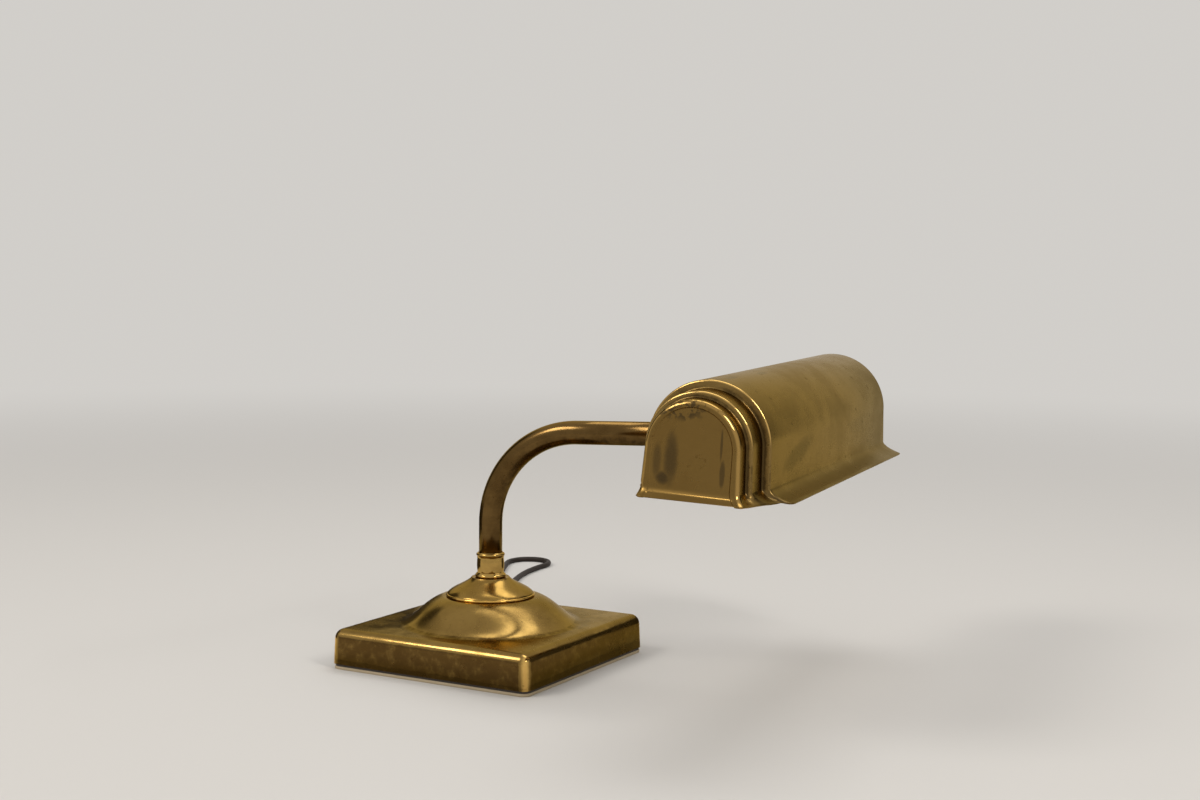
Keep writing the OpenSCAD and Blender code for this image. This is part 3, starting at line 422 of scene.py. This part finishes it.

# %% [markdown]
# The shade has marks that are its own: long dark drops on the near end, a thin line beside them, pits under
# its arch, and smudges low on the barrel. They could be painted, but a soft oval in the shade's frame says
# where each one is and how strong it is, and it stays on the brass whatever the view. Besides these, the
# far shoulder of the barrel and the lip along its far side are darkened as painted shade, and the ends are
# browned, partly as their own tone and partly as painted shade.

# %% Brass of the shade
shade_brass = brass("shade_brass", rgb(0.27, 0.172, 0.056), rgb(0.215, 0.136, 0.043), rgb(0.05, 0.03, 0.011),
                    0.22, 0.33, place=shade_place, cloud=24.0, grain=(1.0, 0.18, 1.0), wear=3.2, specks=0.45,
                    dents=0.06)
across, along, height = shade_brass.axes(shade_brass.at)
ripple = (shade_brass.noise(shade_brass.at, 160.0, 3.0, 0.6) - 0.5) * 1.1


def oval(a, b, a0, b0, wide, tall, soft):
    """1 inside a soft oval of two coordinates, given in millimetres."""
    distance = ((a - a0 * MM) / (wide * MM)) ** 2.0 + ((b - b0 * MM) / (tall * MM)) ** 2.0
    return 1.0 - (distance + ripple).between(1.0 - soft, 1.0 + soft)


def marks(a, b, rows):
    """The strongest of some ovals at each place."""
    found = 0.0
    for *shape, strength in rows:
        found = (oval(a, b, *shape) * strength).larger(found)
    return found


# %% Stains and painted shade of the shade
# Middle of each mark, half its width and height in millimetres, how soft its edge is, and its strength
DROPS = [
    (-11.4, 22.5, 3.6, 13, 0.9, 0.75), (-19.3, 21, 2.2, 9, 0.9, 0.55), (-15.4, 11.5, 3.8, 3.2, 0.9, 0.9),
    (16.6, 32, 0.7, 8.5, 0.55, 0.7), (18.0, 17, 1.5, 7, 0.55, 0.7),
]
PITTED = [(-10, 51, 18, 7, 0.55, 0.85)]
SLANTED = [(-78, 36.3, 27, 5.5, 0.9, 0.55)]
LOW = [(84, 25, 42, 7, 0.9, 0.4), (-138, 31, 4, 6, 0.9, 0.5)]
SCUFFS = [(-108, 3, 9, 2.2, 0.9, 0.5), (-59, 6, 8, 1.8, 0.9, 0.45)]
# Parts of the shade, by where each starts and is full, in metres
near_end = 1.0 - along.between(-0.157, -0.153)
both_ends = along.size().between(0.153, 0.157)
outer_side = across.between(0.028, 0.032) * along.between(-0.15, -0.147)
crest = height.between(0.056, 0.06)
# The darkening of the lip and of the far shoulder below is painted shade, not a stain.
lip = 1.0 - height.between(0.002, 0.0085)
far_shoulder_shade = along.between(0.01, 0.13) * across.between(0.004, 0.03)
slant = height - along * 0.19
pits = shade_brass.noise(shade_brass.at, 380.0, 2.0, 0.5).between(0.48, 0.58)
smudges_and_lip_shade = marks(along, slant, SLANTED).larger(marks(along, height, LOW)).larger(lip * 0.7)
scuffs = marks(along, across, SCUFFS) * crest
stain_and_shade = marks(across, height, DROPS).larger(pits * marks(across, height, PITTED)) * near_end
stain_and_shade = stain_and_shade.larger(smudges_and_lip_shade * outer_side).larger(scuffs).larger(far_shoulder_shade * 0.6)
# The ends are browned, partly their own tone and partly painted shade.
browned_and_shaded = shade_brass.mix(both_ends * 0.5, shade_brass.colour, rgb(0.165, 0.092, 0.02))
shade_brass.feed(base_color=shade_brass.mix(stain_and_shade, browned_and_shaded, rgb(0.075, 0.05, 0.022)))
print("stains:", sum(len(rows) for rows in (DROPS, PITTED, SLANTED, LOW, SCUFFS)))

# %% [markdown]
# ## The base
# The base is one pressing: a square tray with round edges, whose middle rises in a hollow sweep and then a
# shoulder up to the stem. A bevelled cube gives the tray, a spun line gives the dome, and filling between
# the tray's square opening and the dome's round foot joins them into one sheet.

# %% Base: the tray
base_w, base_z, base_h, base_round, base_wall = 150.0, 3.5, 26.0, 6.0, 1.2
bm = bmesh.new()
tray_at = Matrix.Translation((0, 0, (base_z + base_h) / 2))
tray_size = Matrix.Diagonal((base_w, base_w, base_h - base_z, 1))
bmesh.ops.create_cube(bm, size=1.0, matrix=tray_at @ tray_size)
bmesh.ops.delete(bm, geom=[f for f in bm.faces if f.normal.z < -0.5], context="FACES")
rounded(bm, [e for e in bm.edges if max(v.co.z for v in e.verts) > base_h - 0.01], base_round, 8)
lid = [f for f in bm.faces if all(v.co.z > base_h - 0.001 for v in f.verts)]
square_edge = list({e for f in lid for e in f.edges if any(o not in lid for o in e.link_faces)})
bmesh.ops.delete(bm, geom=lid, context="FACES_ONLY")
print("edges of the tray's opening:", len(square_edge))

# %% Base: the dome
dome_r, crown, stem_hole, dome_steps = 61.0, 43.5, 5.3, 36
dome_pull = [Vector((dome_r, base_h)), Vector((52, base_h)), Vector((43, crown - 2)), Vector((31, crown))]


def dome_point(t):
    """A point of the dome's side, from its foot to its crown."""
    a, b, c, d = dome_pull
    return (1 - t) ** 3 * a + 3 * (1 - t) ** 2 * t * b + 3 * (1 - t) * t**2 * c + t**3 * d


def on_dome_foot(edge):
    return edge.is_boundary and all(abs(v.co.xy.length - dome_r) < 0.01 for v in edge.verts)


side = [dome_point(i / dome_steps) for i in range(dome_steps + 1)] + [Vector((stem_hole, crown))]
line = [bm.verts.new((p.x, 0, p.y)) for p in side]
spun_round(bm, line, [bm.edges.new(pair) for pair in zip(line, line[1:])], 128)
round_edge = [e for e in bm.edges if on_dome_foot(e)]
bmesh.ops.triangle_fill(bm, use_beauty=True, edges=square_edge + round_edge)
closed_up(bm)
print("edges of the dome's foot:", len(round_edge))

# %% Base: wear, painted shade, and the lean of its sides
# The sides are darker, with mottled tarnish and painted shade, and a band round the dome's foot is painted
# shade.
corner_wear, edge_wear, side_tarnish_and_shade, foot_painted_shade = 1.5, 0.45, -0.8, -0.55
base_lean, foot_band = 0.8, 5.0
wear_and_shade = bm.verts.layers.float.new("wear_and_shade")
for v in bm.verts:
    v.normal_update()
    up = (v.co.z - base_z) / (base_h - base_z)
    if max(abs(v.co.x), abs(v.co.y)) > base_w / 2 - base_round - 0.01:
        n = v.normal
        corner = min(abs(n.x), abs(n.y)) * corner_wear
        top = 1.0 - abs(n.z - 0.6) / 0.5 if n.z > 0.05 else 0.0
        v[wear_and_shade] = max(corner, top * edge_wear, 0.0) if max(corner, top) > 0.2 else side_tarnish_and_shade
        v.co.x -= math.copysign(base_lean * up, v.co.x)
        v.co.y -= math.copysign(base_lean * up, v.co.y)
    elif v.co.xy.length > dome_r - foot_band:
        v[wear_and_shade] = foot_painted_shade
base_sheet = piece("base_sheet", bm, base_brass, "base", ["base_shell"])
sheet_wall(base_sheet, base_wall)

# %% [markdown]
# ## The felt pad
# A square of cream felt under the base shows as a thin pale line below the brass. It is a flat block,
# rounded twice: first its corners, to follow the tray's, and then its soft rim.

# %% Felt
felt = Finish("felt", roughness=0.95)
at = felt.place()
felt.feed(base_color=felt.mix(felt.noise(at, 60.0), rgb(0.42, 0.33, 0.21), rgb(0.56, 0.46, 0.31)),
          normal=felt.bump(felt.noise(at, 900.0, 4.0, 0.7), 0.0004))
print("felt:", felt.material.name)

# %% Felt pad
pad_w, pad_t, pad_soft = 149.0, 2.0, 0.5
# Two faces that turn by more than this, in radians, meet in a rim
rim_turn = 1.2
bm = bmesh.new()
block = Matrix.Translation((0, 0, pad_t / 2)) @ Matrix.Diagonal((pad_w, pad_w, pad_t, 1))
bmesh.ops.create_cube(bm, size=1.0, matrix=block)
rounded(bm, [e for e in bm.edges if abs(e.verts[0].co.z - e.verts[1].co.z) > pad_t / 2], base_round, 8)
rounded(bm, [e for e in bm.edges if e.calc_face_angle(0) > rim_turn], pad_soft, 3)
piece("pad", bm, felt, "base", ["felt_pad"])

# %% [markdown]
# ## Bell and collar
# Both are turned on a lathe, so both are spun outlines. The bell has an upright rim, a rounded shoulder and
# a hollow sweep to its neck. The collar has a ring at its foot, a waist and a bead at its mouth.

# %% Bell
neck, neck_r, bell_r, rim_r, bell_wall = 56.0, 12.5, 29.3, 0.9, 0.8
side_foot = (28.4, crown + 1.9)


def bell_side(inward=0.0, down=0.0):
    """The bell's side, convex at the foot and hollow at the neck, moved in by the sheet's thickness."""
    steps = [i / 20 for i in range(21)]
    swell = [0.45 * t + 0.55 * (1 - math.cos(math.pi * t)) / 2 for t in steps]
    return [(side_foot[0] - (side_foot[0] - neck_r) * w - inward,
             side_foot[1] + (neck - side_foot[1]) * t - down) for t, w in zip(steps, swell)]


bell_outline = arc((bell_r - rim_r, crown + rim_r), rim_r, -90, 90, 10) + bell_side()
bell_outline += [(stem_hole, neck), (stem_hole, neck - bell_wall)]
bell_outline += bell_side(0.6, bell_wall)[::-1] + [(bell_r - 1.6, crown)]
bm = turned(bell_outline, 128)
wear_and_shade = bm.verts.layers.float.new("wear_and_shade")
# The rim bead is worn bright and painted brighter still, as a painted highlight.
for v in bm.verts:
    v[wear_and_shade] = 1.0 if v.co.xy.length > side_foot[0] + 0.1 else 0.0
piece("bell", bm, bell_brass, "base", ["bell_cap"])

# %% Collar
collar_top, collar_floor, collar_bore, stem_fit = 72.5, neck + 3.5, 7.75, 5.05
waist_r, waist_swell, waist_foot, waist_h = 8.62, 0.4, neck + 3.2, 9.9
foot_ring = arc((9.1, neck + 1.15), 1.15, -90, 70, 8) + [(9.15, neck + 2.8)]
waist = [(waist_r + waist_swell * math.sin(math.radians(a)) ** 0.8, waist_foot + waist_h * a / 180)
         for a in range(0, 171, 10)]
bead = arc((8.3, collar_top - 1.5), 1.12, -50, 78, 8) + [(8.2, collar_top)]
socket = [(collar_bore, collar_top), (collar_bore, collar_floor), (stem_fit, collar_floor), (stem_fit, neck)]
piece("collar_turned", turned(foot_ring + waist + bead + socket, 96), polished, "base", ["collar"])

# %% [markdown]
# ## The arm
# The tube was bent from straight stock. A swept curve would do, but a ring of points that is pushed up,
# spun round the bend's middle and pushed out along the reach runs exactly as the tube's axis does. Its
# upper side is painted lighter and its under side darker, as painted light and shade.

# %% Arm
tube_r, tube_wall, tube_foot, arm_h, bend_r, reach = 7.7, 1.2, 64.3, 154.5, 63.0, 61.0
arm_rise, arm_light_and_shade = math.radians(1.7), 0.75
bend_z = arm_h - bend_r


def pushed(bm, edges, step):
    """Extrudes an open ring of edges by a step, and returns the new ring."""
    out = bmesh.ops.extrude_edge_only(bm, edges=edges)["geom"]
    fresh = {g for g in out if isinstance(g, bmesh.types.BMVert)}
    bmesh.ops.translate(bm, vec=step, verts=list(fresh))
    return [g for g in out if isinstance(g, bmesh.types.BMEdge) and all(v in fresh for v in g.verts)]


def verts_of(edges):
    return list({v for e in edges for v in e.verts})


bm = bmesh.new()
bmesh.ops.create_circle(bm, cap_ends=False, segments=56, radius=tube_r,
                        matrix=Matrix.Translation((0, 0, tube_foot)))
ring = pushed(bm, bm.edges[:], Vector((0, 0, bend_z - tube_foot)))
bent = bmesh.ops.spin(bm, geom=verts_of(ring) + ring, cent=(bend_r, 0, bend_z), axis=(0, 1, 0),
                      angle=math.pi / 2 - arm_rise, steps=40)
ring = [g for g in bent["geom_last"] if isinstance(g, bmesh.types.BMEdge)]
pushed(bm, ring, Vector((math.cos(arm_rise), 0, math.sin(arm_rise))) * reach)
closed_up(bm)
wear_and_shade = bm.verts.layers.float.new("wear_and_shade")
bm.normal_update()
# Painted light and shade: points that face up are painted lighter, and points that face down darker.
for v in bm.verts:
    v[wear_and_shade] = arm_light_and_shade * v.normal.z
bmesh.ops.rotate(bm, cent=(0, 0, 0), matrix=Matrix.Rotation(swing, 3, "Z"), verts=bm.verts)
arm = piece("arm_bent", bm, bronze, "arm", ["arm_tube"])
sheet_wall(arm, tube_wall)

# %% [markdown]
# ## The shade
# The shade is a long arched trough, pressed with a step and a lower end at each side, and its foot sweeps
# out into a lip. Its plan is drawn once as a line of rounded steps. Spinning that line through half a turn
# makes the arch, and pushing the open edge down, level by level, makes the sides and the lip. The wear
# number on its points is high on the rounded edges of the arch and low in the corners, and down the sides
# the edges are painted darker, as painted shade.

# %% Plan of the shade
shade_r, spring_h, shade_wall, draft = 35.9, 28.0, 0.9, math.tan(math.radians(2.8))
barrel_end, step_end, shade_end = 131.5, 148.9, 160.1
step_r, end_r, end_round, step_round, fillet, panel = 30.9, 27.2, 3.4, 1.3, 1.2, 0.6
lip_h, lip_end, lip_round = 6.6, 4.0, 5.0
# Width of the lip beside the end and along the barrel, away from the arm and on its side
far_lips, arm_lips = (4.0, 13.0), (1.2, 3.5)


def edge_arc(middle, radius, start, end, count, worn):
    """Points of a rounded edge with their wear, which is strongest in the middle."""
    points = arc(middle, radius, start, end, count)
    wear = [worn * math.sin(math.pi * i / count) ** 2 if worn > 0 else worn for i in range(count + 1)]
    return [(x, y, w) for (x, y), w in zip(points, wear)]


def convex(y, r, f):
    return edge_arc((y + f, r - f), f, 180, 90, 8, 1.0)


def concave(y, r, f):
    return edge_arc((y - f, r + f), f, -90, 0, 4, -1.0)


def half_plan(grow, sweep, lips):
    """(along, out, rub) from the middle of one end to the barrel. The step fades into a straight lip."""
    end_y, step_y, barrel_y = -shade_end - grow, -step_end - grow, -barrel_end - grow
    r1, r2, r3 = end_r + grow, step_r + grow, shade_r + grow
    fold = end_r - end_round - 2 * panel
    out = [(end_y + panel, fold, 0.0), (end_y, fold + panel, 0.2)] + convex(end_y, r1, end_round)
    out = [(y - lip_end * sweep, x + lips[0] * sweep, shine) for y, x, shine in out]
    first = Vector((end_y + end_round - lip_end, r1 + lips[0]))
    last = Vector((barrel_y - 1, r3 + lips[1] - step_round - lip_round - 1.2))
    edge = concave(step_y, r1, fillet) + convex(step_y, r2, step_round) + concave(barrel_y, r2, fillet)
    for i, (y, x, shine) in enumerate(edge):
        place = Vector((y, x)).lerp(first.lerp(last, (i + 1) / (len(edge) + 1)), sweep)
        out.append((*place, shine * (1 - sweep)))
    return out + convex(barrel_y, r3 + lips[1] * sweep, step_round + lip_round * sweep)


def plan_ring(grow, sweep, z):
    """The whole plan at one height, up one side and back down the other."""
    ring = []
    for side, lips in ((1, far_lips), (-1, arm_lips)):
        half = half_plan(grow, sweep, lips)
        line = [(side * x, y, z, shine) for y, x, shine in half]
        line += [(side * x, -y, z, shine) for y, x, shine in reversed(half)]
        ring += line if side > 0 else line[::-1]
    return ring


top_ring = plan_ring(0.0, 0.0, spring_h)
count = len(top_ring) // 2
print("points along one side of the shade:", count)

# %% Wear of the shade
# Heights between which the steps' worn edges fade into painted shade, and how dark that painted shade is
# below
dull_h, worn_h, lowest_shade = 26.0, 38.0, -0.55
# How much of the corners' darkness goes at the crest, so they are darker towards the bottom, how much
# wear goes at the lip, and the lip's own
crest_loss, lip_loss, lip_wear = 0.6, 0.6, 0.25


def step_wear_and_shade(y, z, shine):
    """Wear of an edge at a place: the steps are rubbed on the arch, and painted darker down the sides
    as painted shade.
    """
    if shine <= 0 or abs(y) > step_end + 1:
        return shine
    return shine * min(max((z - dull_h) / (worn_h - dull_h), lowest_shade), 1.0)


def above_spring(v):
    return max(v.co.z - spring_h, 0.0)


print("wear of a step at the foot of the arch:", round(step_wear_and_shade(0.0, spring_h, 1.0), 2))

# %% Shade: the arch and the ends
bm = bmesh.new()
station = bm.verts.layers.int.new("station")
wear_and_shade = bm.verts.layers.float.new("wear_and_shade")
row = []
for i, (x, y, z, shine) in enumerate(top_ring[:count]):
    v = bm.verts.new((x, y, z))
    v[station], v[wear_and_shade] = i, shine
    row.append(v)
edges = [bm.edges.new(pair) for pair in zip(row, row[1:])]
spun = bmesh.ops.spin(bm, geom=row + edges, cent=(0, 0, spring_h), axis=(0, -1, 0), angle=math.pi, steps=64)
for v in bm.verts:
    if v[wear_and_shade] < 0:
        v[wear_and_shade] *= 1 - crest_loss * above_spring(v) / shade_r
    v[wear_and_shade] = step_wear_and_shade(v.co.y, v.co.z, v[wear_and_shade])
for i in (0, count - 1):
    rim = [v for v in bm.verts if v[station] == i]
    bmesh.ops.contextual_create(bm, geom=sorted(rim, key=lambda v: math.atan2(above_spring(v), v.co.x)))
for v in spun["geom_last"]:
    if isinstance(v, bmesh.types.BMVert):
        v[station] = 2 * count - 1 - v[station]
print("faces of the arch:", len(bm.faces))

# %% Shade: the sides and the lip
lip_top = lip_h + shade_wall
levels = [(spring_h + (lip_top - spring_h) * s, 0.0) for s in (0.25, 0.5, 0.75, 1.0)]
levels += [(lip_top - lip_h * t / 10, (t / 10) ** 2) for t in range(1, 11)]
ring = [e for e in bm.edges if e.is_boundary]
for z, sweep in levels:
    ring = pushed(bm, ring, Vector((0, 0, 0)))
    places = plan_ring(draft * (spring_h - max(z, lip_top)), sweep, z)
    for v in verts_of(ring):
        x, y, _, shine = places[v[station]]
        v.co = (x, y, z)
        v[wear_and_shade] = step_wear_and_shade(y, z, shine) * (1 - lip_loss * sweep) + lip_wear * sweep
bmesh.ops.recalc_face_normals(bm, faces=bm.faces)
bmesh.ops.transform(bm, matrix=shade_frame, verts=bm.verts)
shade = piece("shade_sheet", bm, shade_brass, "shade", ["shade_shell"], 42.0)
sheet_wall(shade, shade_wall, 0.25)

# %% [markdown]
# ## On the cord
# The plug, the bush and the strap are moulded, so their edges are soft. The plug is an outline pushed up
# and bevelled, with ribs for the fingers. Its neck and the bush are spun with rings that let the cord bend.
# The strap is a rounded loop pushed to its width.

# %% Moulded finishes
def mottled(name, low, high, rough, relief, scale, detail, fineness, grain=(1, 1, 1), **sockets):
    """A plain material. One noise sets its colour, its roughness and its relief, which is in metres."""
    finish = Finish(name, **sockets)
    spots = finish.noise(finish.stretched(finish.place(), grain), scale, detail, fineness)
    finish.feed(base_color=finish.mix(spots, low, high), roughness=rough + spots * 0.2,
                normal=finish.bump(spots, relief))
    return finish


fibre = mottled("dark_fibre", rgb(0.022, 0.017, 0.014), rgb(0.055, 0.04, 0.03), 0.5, 0.00005,
                scale=220.0, detail=5.0, fineness=0.65)
cable = Finish("cord_sheath", specular_ior_level=0.3)
at = cable.place()
skin = cable.noise(at, 700.0, 3.0, 0.6)
cable.feed(base_color=cable.mix(cable.noise(at, 90.0), rgb(0.014, 0.009, 0.006), rgb(0.026, 0.016, 0.010)),
           roughness=0.48 + skin * 0.15, normal=cable.bump(skin, 0.00004))
flex_curve.materials.append(cable.material)
print("moulded:", fibre.material.name, cable.material.name)

# %% Plug
plug_x, plug_y, plug_t, plug_round = -12.0, 96.0, 13.7, 1.6
plug_half = [(0, 7), (6, 9), (22, 17.5), (36, 17.5)]
rib_start, rib_pitch, rib_w, rib_h, rib_round = 11, 3, 1.2, 0.9, 0.3
rib_lengths = [12, 14.5, 17, 19.5]
bm = bmesh.new()
outline = plug_half + [(x, -y) for x, y in reversed(plug_half)]
foot = bm.faces.new([bm.verts.new((plug_x + x, plug_y + y, 0)) for x, y in outline])
lid = bmesh.ops.extrude_face_region(bm, geom=[foot])["geom"]
bmesh.ops.translate(bm, vec=(0, 0, plug_t), verts=[g for g in lid if isinstance(g, bmesh.types.BMVert)])
bmesh.ops.recalc_face_normals(bm, faces=bm.faces)
rounded(bm, bm.edges[:], plug_round, 4)
for i, length in enumerate(rib_lengths):
    rib_at = Matrix.Translation((plug_x + rib_start + rib_pitch * i, plug_y, plug_t))
    rib = bmesh.ops.create_cube(bm, size=1.0, matrix=rib_at @ Matrix.Diagonal((rib_w, length, rib_h, 1)))
    rounded(bm, list({e for v in rib["verts"] for e in v.link_edges}), rib_round, 2)
plug = piece("plug_moulded", bm, cable, "base", ["plug_body"], 30.0)


# %% Plug's neck and bush
def ringed(first, last, length, bore, rings):
    """Outline of a sleeve that narrows from one radius to the other, with grooves round it."""
    out = [(bore, 0.0)]
    for i in range(rings):
        r, low = first + (last - first) * i / rings, length * i / rings
        out += [(r, low), (r - 0.15, low + 0.6 * length / rings), (r - 0.7, low + 0.64 * length / rings),
                (r - 0.75, low + 0.96 * length / rings)]
    return out + [(last, length), (bore, length)]


def laid(bm, place):
    """Lays a turned piece down, so that it points to -X from a place."""
    lie = Matrix.Translation(place) @ Matrix.Rotation(-math.pi / 2, 4, "Y")
    bmesh.ops.transform(bm, matrix=lie, verts=bm.verts)
    return bm


cord_bore, flange_t = 2.15, 2.0
bush_at = (-75.0, 30.0, 8.1)
neck_bm = laid(turned(ringed(5.5, 3.0, 12.0, cord_bore, 5), 48), (plug_x, plug_y, plug_t / 2))
plug_neck = piece("plug_neck", neck_bm, cable, "base")
shank = [(cord_bore, -4.0), (4.4, -4.0), (4.4, -2.0), (3.95, -2.0), (3.95, 0.0)]
flange = arc((3.9, 0.5), 0.5, -90, 0, 4) + arc((3.9, 1.5), 0.5, 0, 90, 4)
sleeve = [(r, low + flange_t) for r, low in ringed(4.0, 3.0, 20.0, cord_bore, 8)[1:]]
piece("bush", laid(turned(shank + flange + sleeve, 48), bush_at), fibre, "base", ["cord_gland"])

# %% Strap
strap_in, strap_out, strap_w, strap_h, strap_t, strap_round = 12.8, 34.2, 8.0, 11.2, 0.8, 2.0
low_z, high_z = strap_round, strap_h - strap_round
near_x, far_x = strap_in + strap_round, strap_out - strap_round
loop = []
for x, z, start in ((far_x, low_z, -90), (far_x, high_z, 0), (near_x, high_z, 90), (near_x, low_z, 180)):
    loop += arc((x, z), strap_round, start, start + 90, 6)
bm = bmesh.new()
row = [bm.verts.new((x, -strap_w / 2, z)) for x, z in loop]
pushed(bm, [bm.edges.new(pair) for pair in zip(row, row[1:] + row[:1])], Vector((0, strap_w, 0)))
bmesh.ops.recalc_face_normals(bm, faces=bm.faces)
over_coil = Matrix.Translation((*coil_middle, 0)) @ Matrix.Rotation(math.radians(45), 4, "Z")
bmesh.ops.transform(bm, matrix=over_coil, verts=bm.verts)
strap = piece("strap", bm, fibre, "base", ["cord_tie"])
sheet_wall(strap, strap_t, 0.2)

# %% Facts of the cord
print("cord:", round(cord_length, 3), "m long,", cord_d, "mm thick")

# %% [markdown]
# ## Fittings and bulb
# The solids of the small fittings are already the right shape, so they keep their meshes and get finishes:
# dull plated steel, cast iron, porcelain and frosted glass that glows.

# %% Small finishes
steel = mottled("plated_steel", rgb(0.42, 0.41, 0.38), rgb(0.62, 0.61, 0.58), 0.28, 0.00002,
                scale=300.0, detail=4.0, fineness=0.55, grain=(1, 1, 6), metallic=1.0)
iron = mottled("cast_iron", rgb(0.05, 0.048, 0.046), rgb(0.12, 0.11, 0.1), 0.65, 0.0003,
               scale=500.0, detail=5.0, fineness=0.7, metallic=0.6)

porcelain = Finish("porcelain", coat_weight=0.6)
at = porcelain.place()
glaze = porcelain.mix(porcelain.noise(at, 80.0), rgb(0.74, 0.71, 0.63), rgb(0.82, 0.8, 0.73))
porcelain.feed(base_color=glaze, roughness=0.3 + porcelain.noise(at, 400.0) * 0.1)

glow = Finish("frosted_glass", emission_strength=0.55)
frost = glow.noise(glow.place(), 300.0, 3.0)
glow.feed(base_color=glow.mix(frost, rgb(0.9, 0.84, 0.72), rgb(0.95, 0.91, 0.82)),
          roughness=0.42 + frost * 0.2,
          emission_color=glow.mix(frost, rgb(1.0, 0.72, 0.38), rgb(1.0, 0.78, 0.46)))
print("small finishes:", [finish.material.name for finish in (steel, iron, porcelain, glow)])

# %% Finish of each solid that stays
finish_of = {
    fibre: ["bottom_plate", "switch_key"],
    steel: ["plate_screws", "stem_pipe", "stem_washer", "stem_nut", "shade_washer", "shade_nut",
            "holder_bracket", "holder_nipple", "holder_nut", "bulb_filament"],
    iron: ["ballast"],
    polished: ["swivel_screw", "arm_foot", "pivot_screw", "thumb_nut", "knuckle_eye", "screw_shell",
               "centre_contact", "bulb_cap", "plug_pins"],
    inner_brass: ["holder_cap", "holder_shell", "holder_ring"],
    bronze: ["knuckle_fork"],
    porcelain: ["holder_core"],
    glow: ["bulb_glass"],
    cable: ["base_wire", "arm_wire", "shade_wire"],
}
for finish, names in finish_of.items():
    for name in names:
        nodes[name].data.materials.clear()
        nodes[name].data.materials.append(finish.material)
print("finished solids:", sum(len(names) for names in finish_of.values()))

# %% [markdown]
# ## Floor and light
# A pale floor that runs to the horizon keeps the eye on the brass. A backdrop could end it, but a floor
# that turns to plain pale light far off has no edge in any view. Metal shows what is round it, so the world
# is pale for the camera and for reflections, and lower for the light that falls on the floor.

# %% Floor
pale_level = rgb(0.64, 0.62, 0.59)
floor_r, fade_start, fade_end = 40.0, 0.5, 2.4
pale = Finish("pale_floor", roughness=0.8, base_color=pale_level)
x, y, _ = pale.axes(pale.place())
far_off = ((x * x + y * y) ** 0.5).between(fade_start, fade_end)
horizon = pale.add("ShaderNodeEmission", None, {"Color": pale_level, "Strength": 1.0})
near_floor = Wire(pale, pale.shader.outputs[0])
blend = pale.add("ShaderNodeMixShader", None, {0: far_off, 1: near_floor, 2: horizon})
pale.put(pale.tree.nodes["Material Output"].inputs["Surface"], blend)
bm = bmesh.new()
bmesh.ops.create_circle(bm, cap_ends=True, segments=96, radius=floor_r)
floor = mesh_object("floor", bm, pale)
print("floor's radius:", floor_r)

# %% World
fill_level = rgb(0.45, 0.44, 0.43)
world = bpy.data.worlds.new("studio")
scene.world = world
world.use_nodes = True
studio = Board(world.node_tree)
seen, mirrored, through = (studio.add("ShaderNodeLightPath", output=ray)
                           for ray in ("Is Camera Ray", "Is Glossy Ray", "Is Transmission Ray"))
background = world.node_tree.nodes["Background"]
studio.put(background.inputs["Color"],
           studio.mix(seen.larger(mirrored).larger(through), fill_level, pale_level))
studio.put(background.inputs["Strength"], 1.0)
print("world:", world.name)

# %% [markdown]
# Polished metal needs something dark to reflect, or it looks flat. Two tall dark cards stand far behind the
# lamp, and two low ones close behind it draw dark edges on the tube and the collar. Only reflections see
# them, so they throw no shadow and are in no view.

# %% Dark cards
shadowy = Finish("dark_card", roughness=0.9)
soot = shadowy.noise(shadowy.place(), 3.0)
shadowy.feed(base_color=shadowy.mix(soot, rgb(0.05, 0.045, 0.04), rgb(0.07, 0.063, 0.056)))
view_way = math.degrees(math.atan2(-camera_back.y, -camera_back.x))
# Degrees from the view's way, metres from the stem, width, lowest and highest point
CARDS = {
    "card_left": (52, 2.5, 1.5, 0.1, 2.1),
    "card_right": (-68, 2.5, 1.5, 0.1, 2.1),
    "card_low_left": (52, 0.24, 0.36, 0.002, 0.1),
    "card_low_right": (-53, 0.247, 0.14, 0.002, 0.1),
}
for name, (aside, away, wide, low, high) in CARDS.items():
    bm = bmesh.new()
    turn = Matrix.Rotation(math.radians(view_way + aside), 4, "Z")
    stand = turn @ Matrix.Translation((away, 0, (low + high) / 2))
    shape = Matrix.Rotation(math.pi / 2, 4, "Y") @ Matrix.Diagonal((high - low, wide, 1, 1))
    bmesh.ops.create_grid(bm, x_segments=1, y_segments=1, size=0.5, matrix=stand @ shape)
    card = mesh_object(name, bm, shadowy)
    card.visible_camera = card.visible_diffuse = card.visible_shadow = card.visible_transmission = False
print("dark cards:", len(CARDS))

# %% [markdown]
# Three large soft lamps light the brass. A small lamp would leave hard spots on it, and a wide rectangle
# draws the long highlights on the tube and the steps. One is in front on the left, one on the right and one
# above.

# %% Lamps
# Place, the point it faces, width and height, watts and colour
LAMPS = {
    "key": ((-1.0, -1.3, 1.7), (0.08, 0, 0.1), 0.9, 0.7, 18.0, (1.0, 0.97, 0.92)),
    "side": ((1.7, -0.5, 1.5), (0.15, 0, 0.1), 0.5, 0.9, 15.0, (1.0, 0.97, 0.93)),
    "top": ((0.1, 0.7, 2.0), (0.1, 0.0, 0.1), 1.4, 1.0, 11.0, (1.0, 1.0, 1.0)),
}
for name, (place, aim, wide, tall, watts, tint) in LAMPS.items():
    data = bpy.data.lights.new(name, "AREA")
    data.shape = "RECTANGLE"
    data.size, data.size_y = wide, tall
    data.energy, data.color = watts, tint
    lamp = placed(name, data)
    lamp.location = place
    lamp.rotation_euler = (Vector(aim) - Vector(place)).to_track_quat("-Z", "Y").to_euler()
scene.view_settings.view_transform = "Standard"
print("lamps:", len(LAMPS))

# %% [markdown]
# ## Last step
# The last cell brings the scene up to date.

# %% Bring the scene up to date
bpy.context.view_layer.update()
